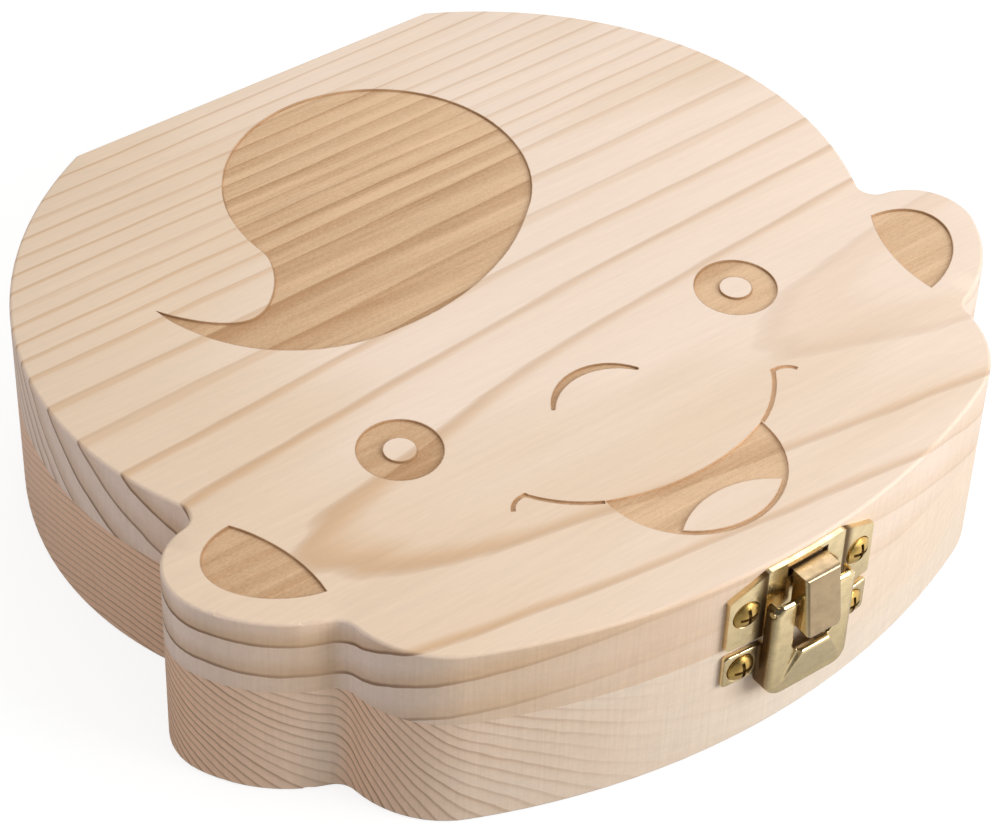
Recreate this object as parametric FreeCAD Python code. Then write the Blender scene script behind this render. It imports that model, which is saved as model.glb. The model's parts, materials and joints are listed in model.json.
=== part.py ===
import FreeCAD
import Part
import math
import os

from FreeCAD import Vector

# A pine keepsake box for milk teeth: a head-shaped base and lid, two rear hinges and a front latch.
# Millimetres. X runs to the box's right, +Y to its hinges, +Z up. The underside is at z = 0.

# Wood outline
BASE_H = 18.0
LID_T = 12.0
HEAD_HALF_W = 60.0
HEAD_HALF_D = 53.3
HEAD_Y = 11.8
REAR_Y = 58.1
EAR_X = 56.0
EAR_Y = -20.3
EAR_R = 8.4
EAR_SWEEP_R = 21.0
EAR_SWEEP_DEG = -22.6
EAR_ROOT_DEG = 125.0
EAR_TUCK_DEG = 62.0
CHEEK_X = 34.7
CHEEK_Y = -35.9
CHEEK_R = 15.1
CHEEK_TOP_DEG = 60.0
CHIN_R = 101.0
EAR_NOTCH_R = 2.5
CHEEK_NOTCH_R = 3.0
EDGE_EASE = 0.5

# Wells in the base
WELL_D = 9.5
WELL_DEPTH = 11.0
WELL_RIM = 0.4
WELL_RING_R = 42.0
WELL_RING_Y = 2.0
WELLS_PER_JAW = 10
JAW_CORNER_DEG = 9.5
KEEPSAKE_D = 26.0
KEEPSAKE_X = 17.0
KEEPSAKE_DEPTH = 11.0

# Engraving in the lid
ENGRAVE_DEPTH = 0.3
EYE_X = 27.5
EYE_Y = -15.9
EYE_R = 5.6
EYE_DISC_R = 2.2
NOSE_X = -0.3
NOSE_Y = -21.0
NOSE_HALF_W = 6.8
NOSE_RISE = 3.6
NOSE_LINE = 1.2
NOSE_END = 0.5
LIP_X = 0.6
LIP_Y = -38.7
LIP_R = 12.7
LIP_LINE = 0.7
UPPER_LIP_DROP = 1.8
UPPER_LIP_R = 33.6
TONGUE_DROP = 18.5
TONGUE_R = 12.5
SMILE_LINE = 0.6
SMILE_END_X = 20.2
SMILE_END_Y = -31.5
SMILE_SAG = 0.7
SMILE_CORNER_R = 0.4
SMILE_TUCK = 0.1
DIMPLE_RUN = 2.9
DIMPLE_DROP = 1.5
DIMPLE_RISE = 0.6
EAR_MARK_X = 48.9
EAR_MARK_Y = -23.1
EAR_MARK_HALF_L = 11.1
EAR_MARK_HALF_W = 7.6
EAR_MARK_DEG = 22.6
EAR_MARK_BOW_R = 23.5
EAR_MARK_BOW_X = 23.4
EAR_MARK_BOW_Y = -4.5
HAIR_X = 1.0
HAIR_Y = 29.4
HAIR_R = 21.3
HAIR_SIDE_DEG = 187.7
HAIR_LOW_DEG = -50.0
TAIL_X = -14.1
TAIL_Y = 27.5
TAIL_R = 24.5
TAIL_TIP_DEG = 188.0
TAIL_BULGE = 3.2
TAIL_HOLLOW = [(-20.5, -8.6), (-14.5, -12.0), (-9.3, -8.9)]

# Hinges
HINGE_X = 19.0
HINGE_L = 16.0
LEAF_H = 8.5
LEAF_T = 0.8
KNUCKLE_R = 1.5
KNUCKLE_MID = 6.0
KNUCKLE_END_GAP = 0.1
KNUCKLE_SIDE_GAP = 0.3
KNUCKLE_WOOD_GAP = 0.15
HINGE_PIN_R = 0.75
HINGE_PIN_PROUD = 0.3
HINGE_WOOD_MARGIN = 1.0
PIN_CLEARANCE = 0.05

# Screws
SCREW_CLEARANCE = 0.03
SCREW_TIP = 1.5
HINGE_SCREW_HEAD_R = 1.5
HINGE_SCREW_SHANK_R = 0.75
HINGE_SCREW_L = 7.0
HINGE_SCREW_DOME = 0.3
HINGE_SCREW_X = 4.6
HINGE_SCREW_Z = 5.2
LATCH_SCREW_HEAD_R = 2.1
LATCH_SCREW_SHANK_R = 0.9
LATCH_SCREW_L = 9.0
LATCH_SCREW_DOME = 0.8
CROSS_W = 0.5
CROSS_DEPTH = 0.5
CROSS_REACH = 0.62

# Latch
LATCH_X = 3.3
PLATE_T = 0.8
LEVER_W = 5.6
LEVER_T = 0.7
LEVER_FRONT = 3.9
LEVER_LEAN = 0.15
LEVER_BACK = 1.4
LEVER_TAIL = 4.4
LEVER_TAIL_DEPTH = 2.4
LEVER_HEEL = 1.2
LEVER_ROUND = 0.5
LEVER_CORNER_R = 0.9
SHIELD_FRONT = 3.3
SHIELD_T = 0.7
SHIELD_CORNER_R = 2.5
SHIELD_ROUND = 1.0
RAIL_W = 3.2
RAIL_RISE = 1.5
RAIL_CHAMFER = 1.0
MOUTH_GAP = 0.6
MOUTH_DROP = 3.5
MOUTH_CORNER_R = 2.0
SKIRT_H = 7.0
LIP_BEAD_R = 0.5
SCOOP_RISE = 1.8
SCOOP_PROUD = 0.8
SCOOP_INSET = 1.6
TAB_W = 5.4
TAB_H = 5.2
TAB_CORNER_R = 0.5
TAB_SEAM_GAP = 0.9
STRIKE_SEAM_GAP = 0.4
STRIKE_TOP_MARGIN = 0.5
STRIKE_SHOULDER = 2.6
STRIKE_CROWN_W = 12.0
STRIKE_CLEARANCE = 0.3
SLOT_RIM = 0.8
SLOT_H = 1.5
SLOT_SIDE_GAP = 0.45
HOOK_H = 0.9
HOOK_GAP = 0.2
HOOK_TIP_GAP = 0.15
HOOK_RAMP = 0.45
PIVOT_DROP = 3.8
PIVOT_PROUD = 2.3
LATCH_PIN_R = 0.5
STRIKE_SCREW_RISE = 5.4
TAB_SCREW_RISE = 2.4
SPRING_WIRE_R = 0.16
SPRING_BORE_GAP = 0.1
SPRING_PITCH = 0.75
SPRING_TURNS = 2
SPRING_FRONT_DEG = 16.0
SPRING_BACK_DEG = 5.7
SPRING_FRONT_LEG = 4.4
SPRING_BACK_LEG = 11.0

# Values that follow from the sizes above
TOTAL_H = BASE_H + LID_T
OVERCUT = 1.0
SEAT_REACH = 3.0
TOLERANCE = 1e-4
CORNER_DEG = 15.0
GAP_SAMPLES = 400
CHIN_CENTRE_Y = CHEEK_Y + math.sqrt((CHIN_R - CHEEK_R) ** 2 - CHEEK_X ** 2)
LEVER_HALF = LEVER_W / 2
MOUTH_HALF = LEVER_HALF + MOUTH_GAP
SHIELD_HALF = MOUTH_HALF + RAIL_W
STRIKE_HALF = SHIELD_HALF + TAB_W
SEAT_Y = CHIN_CENTRE_Y - math.sqrt(CHIN_R ** 2 - LATCH_X ** 2)
STRIKE_BOTTOM = BASE_H + STRIKE_SEAM_GAP
STRIKE_TOP = TOTAL_H - STRIKE_TOP_MARGIN
SLOT_TOP = STRIKE_TOP - SLOT_RIM
SLOT_BOTTOM = SLOT_TOP - SLOT_H
HOOK_BOTTOM = SLOT_BOTTOM + HOOK_GAP
LEVER_TOP = HOOK_BOTTOM + HOOK_H
PIVOT_Z = SLOT_BOTTOM - PIVOT_DROP
LEVER_BOTTOM = PIVOT_Z - LEVER_TAIL
MOUTH_BOTTOM = LEVER_BOTTOM - MOUTH_DROP
SHIELD_BOTTOM = MOUTH_BOTTOM - SKIRT_H
RAIL_TOP = PIVOT_Z + RAIL_RISE
TAB_TOP = BASE_H - TAB_SEAM_GAP
TAB_BOTTOM = TAB_TOP - TAB_H
SCREW_X = SHIELD_HALF + TAB_W / 2
STRIKE_SCREW_Z = STRIKE_BOTTOM + STRIKE_SCREW_RISE
TAB_SCREW_Z = TAB_BOTTOM + TAB_SCREW_RISE
HINGE_AXIS_Y = REAR_Y + KNUCKLE_R + KNUCKLE_WOOD_GAP
FRONT = Vector(0, -1, 0)
REAR = Vector(0, 1, 0)
UP = Vector(0, 0, 1)
SIDES = {"left": -1, "right": 1}


def on_circle(x, y, radius, degrees):
    """A point on a circle in the XY plane."""
    angle = math.radians(degrees)
    return Vector(x + radius * math.cos(angle), y + radius * math.sin(angle), 0)


def arc(first, middle, last):
    """The edge of a circular arc through three points."""
    return Part.Arc(first, middle, last).toShape()


def halfway(first, last):
    """The point midway between two points."""
    return (first + last) * 0.5


def face_of(edges):
    """The flat face inside a closed ring of edges."""
    return Part.Face(Part.Wire(Part.__sortEdges__(edges)))


def polygon(points):
    """The flat face inside a closed run of straight lines."""
    return Part.Face(Part.makePolygon(points + points[:1]))


def disc(x, y, radius):
    """A round face in the XY plane."""
    return Part.Face(Part.Wire(Part.Circle(Vector(x, y, 0), UP, radius).toShape()))


def oval(x, y, half_x, half_y, degrees):
    """An elliptical face in the XY plane, turned by some degrees."""
    edge = Part.Ellipse(Vector(0, 0, 0), max(half_x, half_y), min(half_x, half_y)).toShape()
    turn = degrees
    if half_y > half_x:
        turn = degrees + 90
    edge.rotate(Vector(0, 0, 0), UP, turn)
    edge.translate(Vector(x, y, 0))
    return Part.Face(Part.Wire(edge))


def box(x_low, x_high, y_low, y_high, z_low, z_high):
    """A block between two corners."""
    return Part.makeBox(x_high - x_low, y_high - y_low, z_high - z_low, Vector(x_low, y_low, z_low))


def rod(radius, start, along):
    """A round bar from a point along a vector."""
    return Part.makeCylinder(radius, along.Length, start, along)


def edges_along(shape, direction):
    """The open edges of a shape whose two ends lie along one direction."""
    found = []
    for edge in shape.Edges:
        ends = edge.Vertexes
        if len(ends) == 2 and (ends[1].Point - ends[0].Point).cross(direction).Length < TOLERANCE:
            found.append(edge)
    return found


def ear_face(side):
    """One ear: a small round top that runs into a wide sweep towards the cheek."""
    direction = math.radians(EAR_SWEEP_DEG)
    reach = EAR_SWEEP_R - EAR_R
    sweep_x = EAR_X - reach * math.cos(direction)
    sweep_y = EAR_Y - reach * math.sin(direction)
    root = on_circle(EAR_X, EAR_Y, EAR_R, EAR_ROOT_DEG)
    crown = on_circle(EAR_X, EAR_Y, EAR_R, (EAR_ROOT_DEG + EAR_SWEEP_DEG) / 2)
    join = on_circle(EAR_X, EAR_Y, EAR_R, EAR_SWEEP_DEG)
    lobe = on_circle(sweep_x, sweep_y, EAR_SWEEP_R, EAR_SWEEP_DEG - EAR_TUCK_DEG / 2)
    tuck = on_circle(sweep_x, sweep_y, EAR_SWEEP_R, EAR_SWEEP_DEG - EAR_TUCK_DEG)
    cheek = Vector(CHEEK_X, CHEEK_Y, 0)
    inside = Vector(CHEEK_X, root.y, 0)
    edges = [
        arc(root, crown, join),
        arc(join, lobe, tuck),
        Part.makeLine(tuck, cheek),
        Part.makeLine(cheek, inside),
        Part.makeLine(inside, root),
    ]
    face = face_of(edges)
    if side < 0:
        face = face.mirror(Vector(0, 0, 0), Vector(1, 0, 0))
    return face


def jaw_face():
    """The lower face: a wide chin arc that runs into two round cheeks."""
    slope = math.atan2(CHEEK_Y - CHIN_CENTRE_Y, CHEEK_X)
    right_join = on_circle(0, CHIN_CENTRE_Y, CHIN_R, math.degrees(slope))
    left_join = Vector(-right_join.x, right_join.y, 0)
    chin = Vector(0, CHIN_CENTRE_Y - CHIN_R, 0)
    right_mid = on_circle(CHEEK_X, CHEEK_Y, CHEEK_R, math.degrees(slope) / 2)
    left_mid = Vector(-right_mid.x, right_mid.y, 0)
    right_top = Vector(CHEEK_X, CHEEK_Y + CHEEK_R, 0)
    left_top = Vector(-CHEEK_X, CHEEK_Y + CHEEK_R, 0)
    right_side = on_circle(CHEEK_X, CHEEK_Y, CHEEK_R, CHEEK_TOP_DEG)
    left_side = Vector(-right_side.x, right_side.y, 0)
    edges = [
        arc(left_join, chin, right_join),
        arc(right_join, right_mid, right_side),
        Part.makeLine(right_side, right_top),
        Part.makeLine(right_top, left_top),
        Part.makeLine(left_top, left_side),
        arc(left_side, left_mid, left_join),
    ]
    return face_of(edges)


def rear_face():
    """The straight strip behind the head that carries the hinges."""
    half = HINGE_X + HINGE_L / 2 + HINGE_WOOD_MARGIN
    corners = [(-half, HEAD_Y), (half, HEAD_Y), (half, REAR_Y), (-half, REAR_Y)]
    return polygon([Vector(x, y, 0) for x, y in corners])


def sharp_uprights(shape):
    """The upright edges where two side faces meet at a real corner."""
    sharp = []
    for edge in edges_along(shape, UP):
        middle = edge.valueAt((edge.FirstParameter + edge.LastParameter) / 2)
        normals = []
        for face in shape.ancestorsOfType(edge, Part.Face):
            u, v = face.Surface.parameter(middle)
            normals.append(face.normalAt(u, v))
        if normals[0].getAngle(normals[1]) > math.radians(CORNER_DEG):
            sharp.append(edge)
    return sharp


def board(z_low, height, eased_z):
    """A board of the box's outline, with rounded notches and the flat rear."""
    head = oval(0, HEAD_Y, HEAD_HALF_W, HEAD_HALF_D, 0)
    faces = [head, rear_face(), jaw_face(), ear_face(-1), ear_face(1)]
    solids = [face.extrude(UP * height) for face in faces]
    blank = solids[0].fuse(solids[1:]).removeSplitter()
    behind = [edge for edge in sharp_uprights(blank) if EAR_Y < edge.CenterOfMass.y < HEAD_Y]
    blank = blank.makeFillet(EAR_NOTCH_R, behind)
    below = [edge for edge in sharp_uprights(blank) if edge.CenterOfMass.y < EAR_Y]
    blank = blank.makeFillet(CHEEK_NOTCH_R, below)
    reach = EAR_X + EAR_R + OVERCUT
    blank = blank.common(box(-reach, reach, -CHIN_R, REAR_Y, -OVERCUT, height + OVERCUT))
    blank.translate(UP * z_low)
    rim = []
    for edge in blank.Edges:
        if max(abs(edge.BoundBox.ZMin - eased_z), abs(edge.BoundBox.ZMax - eased_z)) < TOLERANCE:
            rim.append(edge)
    return blank.makeFillet(EDGE_EASE, rim).Solids[0]


def stroke(first, middle, last, width):
    """The face of an engraved line of even width along a circular arc."""
    line = arc(first, middle, last).Curve
    centre = line.Center
    edges = []
    corners = []
    for reach in (line.Radius - width / 2, line.Radius + width / 2):
        points = [centre + (point - centre).normalize() * reach for point in (first, middle, last)]
        edges.append(arc(*points))
        corners.append((points[0], points[2]))
    edges.append(Part.makeLine(corners[0][0], corners[1][0]))
    edges.append(Part.makeLine(corners[0][1], corners[1][1]))
    return face_of(edges)


def eye_faces():
    """Two ring eyes, each with a plain disc left standing in the middle."""
    faces = []
    for side in SIDES.values():
        ring = disc(side * EYE_X, EYE_Y, EYE_R)
        faces.append(ring.cut(disc(side * EYE_X, EYE_Y, EYE_DISC_R)))
    return faces


def nose_face():
    """A bowed line that is widest in the middle and has round ends."""
    end = NOSE_END / 2
    crown = Vector(NOSE_X, NOSE_Y + NOSE_RISE, 0)
    upper = crown + Vector(0, NOSE_LINE / 2, 0)
    lower = crown - Vector(0, NOSE_LINE / 2, 0)
    outside = []
    inside = []
    tips = []
    for side in SIDES.values():
        tip = Vector(NOSE_X + side * NOSE_HALF_W, NOSE_Y, 0)
        across = Vector(side, 1, 0).normalize() * end
        outside.append(tip + across)
        inside.append(tip - across)
        tips.append(tip + Vector(side, -1, 0).normalize() * end)
    edges = [arc(outside[0], upper, outside[1]), arc(inside[0], lower, inside[1])]
    edges += [arc(*points) for points in zip(outside, tips, inside)]
    return face_of(edges)


def mouth_faces():
    """An open mouth round a plain tongue, with a smile line and a dimple at each corner."""
    upper_y = LIP_Y - UPPER_LIP_DROP + UPPER_LIP_R
    lips = disc(LIP_X, LIP_Y, LIP_R).cut(disc(LIP_X, upper_y, UPPER_LIP_R))
    tongue = disc(LIP_X, LIP_Y - TONGUE_DROP, TONGUE_R).common(disc(LIP_X, LIP_Y, LIP_R - LIP_LINE))
    faces = [lips.cut(tongue)]
    corner_y = upper_y - math.sqrt(UPPER_LIP_R ** 2 - LIP_R ** 2)
    for side in SIDES.values():
        corner = Vector(LIP_X + side * LIP_R, corner_y, 0)
        corner += (corner - Vector(LIP_X, upper_y, 0)).normalize() * (SMILE_LINE / 2 - SMILE_TUCK)
        end = Vector(LIP_X + side * SMILE_END_X, SMILE_END_Y, 0)
        sag = halfway(corner, end) + Vector(side, -1, 0).normalize() * SMILE_SAG
        dimple = end + Vector(side * DIMPLE_RUN, -DIMPLE_DROP, 0)
        rise = halfway(end, dimple) + Vector(0, DIMPLE_RISE, 0)
        faces.append(stroke(corner, sag, end, SMILE_LINE))
        faces.append(stroke(end, rise, dimple, SMILE_LINE))
        faces.append(disc(end.x, end.y, SMILE_CORNER_R))
    return faces


def ear_mark_faces():
    """A leaf-shaped mark in each ear."""
    leaf = oval(EAR_MARK_X, EAR_MARK_Y, EAR_MARK_HALF_L, EAR_MARK_HALF_W, EAR_MARK_DEG)
    bow = disc(EAR_MARK_X + EAR_MARK_BOW_X, EAR_MARK_Y + EAR_MARK_BOW_Y, EAR_MARK_BOW_R)
    right = leaf.common(bow)
    return [right, right.mirror(Vector(0, 0, 0), Vector(1, 0, 0))]


def hair_face():
    """A curl of hair: a round lobe whose tail sweeps round to a point."""
    side = on_circle(HAIR_X, HAIR_Y, HAIR_R, HAIR_SIDE_DEG)
    low = on_circle(HAIR_X, HAIR_Y, HAIR_R, HAIR_LOW_DEG)
    crown = on_circle(HAIR_X, HAIR_Y, HAIR_R, (HAIR_SIDE_DEG + HAIR_LOW_DEG) / 2)
    bottom = on_circle(TAIL_X, TAIL_Y, TAIL_R, 270)
    swing = on_circle(TAIL_X, TAIL_Y, TAIL_R, (270 + TAIL_TIP_DEG) / 2)
    tip = on_circle(TAIL_X, TAIL_Y, TAIL_R, TAIL_TIP_DEG)
    chord = bottom - low
    bulge = halfway(bottom, low) + Vector(-chord.y, chord.x, 0).normalize() * TAIL_BULGE
    hollow = Part.BSplineCurve()
    hollow.interpolate([tip] + [Vector(TAIL_X + x, TAIL_Y + y, 0) for x, y in TAIL_HOLLOW] + [side])
    edges = [
        arc(side, crown, low),
        arc(low, bulge, bottom),
        arc(bottom, swing, tip),
        hollow.toShape(),
    ]
    return face_of(edges)


def engraving():
    """The solids that the face and the hair take out of the lid's top."""
    faces = eye_faces() + mouth_faces() + ear_mark_faces() + [nose_face(), hair_face()]
    cutters = []
    for face in faces:
        cutter = face.extrude(UP * (ENGRAVE_DEPTH + OVERCUT))
        cutter.translate(UP * (TOTAL_H - ENGRAVE_DEPTH))
        cutters.append(cutter)
    return cutters


def well(x, y, diameter, depth):
    """The solid that a round well with an eased rim takes out of the base's top."""
    hole = rod(diameter / 2, Vector(x, y, BASE_H - depth), UP * (depth + OVERCUT))
    rim_r = diameter / 2 + WELL_RIM
    rim = Part.makeCone(diameter / 2, rim_r, WELL_RIM, Vector(x, y, BASE_H - WELL_RIM), UP)
    return hole.fuse(rim)


def wells():
    """Ten tooth wells for each jaw, in two facing arches, and two keepsake wells inside them."""
    cutters = []
    step = (180 - 2 * JAW_CORNER_DEG) / (WELLS_PER_JAW - 1)
    for jaw_start in (JAW_CORNER_DEG, 180 + JAW_CORNER_DEG):
        for count in range(WELLS_PER_JAW):
            place = on_circle(0, WELL_RING_Y, WELL_RING_R, jaw_start + count * step)
            cutters.append(well(place.x, place.y, WELL_D, WELL_DEPTH))
    for side in SIDES.values():
        cutters.append(well(side * KEEPSAKE_X, WELL_RING_Y, KEEPSAKE_D, KEEPSAKE_DEPTH))
    return cutters


def turned(points):
    """A solid turned about Z from radius and height pairs."""
    ring = [Vector(radius, 0, height) for radius, height in points]
    return polygon(ring).revolve(Vector(0, 0, 0), UP, 360)


def aimed(shape, place, normal):
    """A shape made about Z, moved to a place with Z along a normal."""
    shape.Placement = FreeCAD.Placement(place, FreeCAD.Rotation(UP, normal))
    return shape


def screw(place, normal, head_r, shank_r, length, dome):
    """A countersunk screw with a domed head and a cross recess, its rim at the given place."""
    sink = head_r - shank_r
    cap_r = (head_r ** 2 + dome ** 2) / (2 * dome)
    lean = math.asin(head_r / cap_r) / 2
    rise = Vector(cap_r * math.sin(lean), 0, dome - cap_r * (1 - math.cos(lean)))
    top = Vector(0, 0, dome)
    rim = Vector(head_r, 0, 0)
    profile = [
        arc(top, rise, rim),
        Part.makeLine(rim, Vector(shank_r, 0, -sink)),
        Part.makeLine(Vector(shank_r, 0, -sink), Vector(shank_r, 0, SCREW_TIP - length)),
        Part.makeLine(Vector(shank_r, 0, SCREW_TIP - length), Vector(0, 0, -length)),
        Part.makeLine(Vector(0, 0, -length), top),
    ]
    body = face_of(profile).revolve(Vector(0, 0, 0), UP, 360)
    reach = head_r * CROSS_REACH
    half = CROSS_W / 2
    low = dome - CROSS_DEPTH
    for arm in (box(-reach, reach, -half, half, low, dome + OVERCUT),
                box(-half, half, -reach, reach, low, dome + OVERCUT)):
        body = body.cut(arm)
    return aimed(body, place, normal)


def screw_hole(place, normal, head_r, shank_r, length):
    """The solid that a screw takes out of the plate and the wood under it."""
    gap = SCREW_CLEARANCE
    points = [
        (0, OVERCUT),
        (head_r + gap, OVERCUT),
        (head_r + gap, 0),
        (shank_r + gap, shank_r - head_r),
        (shank_r + gap, -length - gap),
        (0, -length - gap),
    ]
    return aimed(turned(points), place, normal)


def hinge_screw_places(side, leaf):
    """The two screw places of one leaf, on its outer face."""
    rows = []
    for offset in (-HINGE_SCREW_X, HINGE_SCREW_X):
        rows.append(Vector(side * HINGE_X + offset, REAR_Y + LEAF_T, BASE_H + leaf * HINGE_SCREW_Z))
    return rows


def hinge_screw(place):
    """One hinge screw."""
    return screw(place, REAR, HINGE_SCREW_HEAD_R, HINGE_SCREW_SHANK_R, HINGE_SCREW_L, HINGE_SCREW_DOME)


def hinge_screw_hole(place):
    """The hole for one hinge screw."""
    return screw_hole(place, REAR, HINGE_SCREW_HEAD_R, HINGE_SCREW_SHANK_R, HINGE_SCREW_L)


def latch_screw_seats(z):
    """The place and outward way of the two screws of a latch plate at one height, on its outer face."""
    seats = []
    for side in SIDES.values():
        turn = math.asin((LATCH_X + side * SCREW_X) / (CHIN_R + PLATE_T))
        way = Vector(math.sin(turn), -math.cos(turn), 0)
        seats.append((Vector(0, CHIN_CENTRE_Y, z) + way * (CHIN_R + PLATE_T), way))
    return seats


def latch_screw(place, way):
    """One latch screw."""
    return screw(place, way, LATCH_SCREW_HEAD_R, LATCH_SCREW_SHANK_R, LATCH_SCREW_L, LATCH_SCREW_DOME)


def latch_screw_hole(place, way):
    """The hole for one latch screw."""
    return screw_hole(place, way, LATCH_SCREW_HEAD_R, LATCH_SCREW_SHANK_R, LATCH_SCREW_L)


def hinge_leaf(side, leaf):
    """One leaf: leaf is 1 on the lid, with the middle knuckle, and -1 on the base, with the outer two."""
    centre = side * HINGE_X
    half = HINGE_L / 2
    middle = (centre - KNUCKLE_MID / 2, centre + KNUCKLE_MID / 2)
    outer = [(centre - half, middle[0] - KNUCKLE_END_GAP), (middle[1] + KNUCKLE_END_GAP, centre + half)]
    own, other = outer, [middle]
    if leaf > 0:
        own, other = [middle], outer
    low, high = sorted((BASE_H, BASE_H + leaf * LEAF_H))
    shape = box(centre - half, centre + half, REAR_Y, REAR_Y + LEAF_T, low, high)
    for start, end in other:
        room = Vector(start - KNUCKLE_END_GAP, HINGE_AXIS_Y, BASE_H)
        run = Vector(end - start + 2 * KNUCKLE_END_GAP, 0, 0)
        shape = shape.cut(rod(KNUCKLE_R + KNUCKLE_SIDE_GAP, room, run))
    for start, end in own:
        shape = shape.fuse(rod(KNUCKLE_R, Vector(start, HINGE_AXIS_Y, BASE_H), Vector(end - start, 0, 0)))
    bore = Vector(centre - half - OVERCUT, HINGE_AXIS_Y, BASE_H)
    shape = shape.cut(rod(HINGE_PIN_R + PIN_CLEARANCE, bore, Vector(HINGE_L + 2 * OVERCUT, 0, 0)))
    for place in hinge_screw_places(side, leaf):
        shape = shape.cut(hinge_screw_hole(place))
    return shape.removeSplitter()


def hinge_pin(side):
    """The pin through one hinge's knuckles."""
    start = Vector(side * HINGE_X - HINGE_L / 2 - HINGE_PIN_PROUD, HINGE_AXIS_Y, BASE_H)
    return rod(HINGE_PIN_R, start, Vector(HINGE_L + 2 * HINGE_PIN_PROUD, 0, 0))


def seat_point(across, proud, z):
    """A point of the latch: across from its middle line, proud of its seat, and a height."""
    return Vector(LATCH_X + across, SEAT_Y - proud, z)


def seat_prism(outline, back, front):
    """A latch solid between two depths from an outline of across and height pairs."""
    points = [seat_point(across, back, z) for across, z in outline]
    return polygon(points).extrude(FRONT * (front - back))


def seat_box(half, back, front, low, high):
    """A latch block, even about the middle line."""
    return seat_prism([(-half, low), (half, low), (half, high), (-half, high)], back, front)


def side_prism(half, outline):
    """A latch solid, even about the middle line, from an outline of depth and height pairs."""
    points = [seat_point(-half, proud, z) for proud, z in outline]
    return polygon(points).extrude(Vector(2 * half, 0, 0))


def chin(proud):
    """The round of the chin, carried forward by some depth."""
    return Part.makeCylinder(CHIN_R + proud, TOTAL_H, Vector(0, CHIN_CENTRE_Y, 0), UP)


def chin_plate(blank):
    """The part of a latch solid that is a plate against the chin."""
    return blank.common(chin(PLATE_T)).cut(chin(0))


def strike_plate():
    """The lid's plate, with sloping shoulders and a slot for the hook."""
    crown = STRIKE_CROWN_W / 2
    shoulder = STRIKE_TOP - STRIKE_SHOULDER
    outline = [
        (-STRIKE_HALF, STRIKE_BOTTOM),
        (STRIKE_HALF, STRIKE_BOTTOM),
        (STRIKE_HALF, shoulder),
        (crown, STRIKE_TOP),
        (-crown, STRIKE_TOP),
        (-STRIKE_HALF, shoulder),
    ]
    blank = seat_prism(outline, -SEAT_REACH, SEAT_REACH)
    plate = chin_plate(blank.makeFillet(TAB_CORNER_R, edges_along(blank, FRONT)))
    slot_half = LEVER_HALF + SLOT_SIDE_GAP
    plate = plate.cut(seat_box(slot_half, -OVERCUT, PLATE_T + OVERCUT, SLOT_BOTTOM, SLOT_TOP))
    for place, way in latch_screw_seats(STRIKE_SCREW_Z):
        plate = plate.cut(latch_screw_hole(place, way))
    return plate


def lowest_edges(shape, direction, count):
    """The lowest few of a shape's edges along one direction."""
    return sorted(edges_along(shape, direction), key=lambda edge: edge.CenterOfMass.z)[:count]


def shield():
    """The raised, open-topped cover of the latch, with a mouth for the lever."""
    half = SHIELD_HALF
    shoulder = RAIL_TOP - RAIL_CHAMFER
    outline = [
        (-half, SHIELD_BOTTOM),
        (half, SHIELD_BOTTOM),
        (half, shoulder),
        (half - RAIL_CHAMFER, RAIL_TOP),
        (RAIL_CHAMFER - half, RAIL_TOP),
        (-half, shoulder),
    ]
    cover = seat_prism(outline, -SEAT_REACH, SHIELD_FRONT)
    cover = cover.makeFillet(SHIELD_CORNER_R, lowest_edges(cover, FRONT, 2))
    front_y = SEAT_Y - SHIELD_FRONT
    rim = [edge for edge in cover.Edges if abs(edge.CenterOfMass.y - front_y) < TOLERANCE]
    cover = cover.makeFillet(SHIELD_ROUND, rim)
    floor = SHIELD_BOTTOM + SHIELD_T
    hollow = seat_box(half - SHIELD_T, -SEAT_REACH, SHIELD_FRONT - SHIELD_T, floor, RAIL_TOP + OVERCUT)
    hollow = hollow.makeFillet(SHIELD_CORNER_R - SHIELD_T, lowest_edges(hollow, FRONT, 2))
    mouth = seat_box(MOUTH_HALF, 0, SHIELD_FRONT + OVERCUT, MOUTH_BOTTOM, RAIL_TOP + OVERCUT)
    mouth = mouth.makeFillet(MOUTH_CORNER_R, lowest_edges(mouth, FRONT, 2))
    over_lid = seat_box(half + OVERCUT, -SEAT_REACH, PLATE_T + STRIKE_CLEARANCE, TAB_TOP, RAIL_TOP + OVERCUT)
    return cover.cut([hollow, mouth, over_lid, chin(0)])


def scoop():
    """The swell under the mouth that runs out from the shield to the lip."""
    back = SHIELD_FRONT - SHIELD_T
    rings = []
    for half, front, z in ((SHIELD_HALF - SCOOP_INSET, SHIELD_FRONT, SHIELD_BOTTOM + SCOOP_RISE),
                           (MOUTH_HALF - MOUTH_CORNER_R / 2, SHIELD_FRONT + SCOOP_PROUD, MOUTH_BOTTOM)):
        corners = [(-half, back), (half, back), (half, front), (-half, front)]
        points = [seat_point(across, proud, z) for across, proud in corners]
        rings.append(Part.makePolygon(points + points[:1]))
    return Part.makeLoft(rings, True, True)


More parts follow.
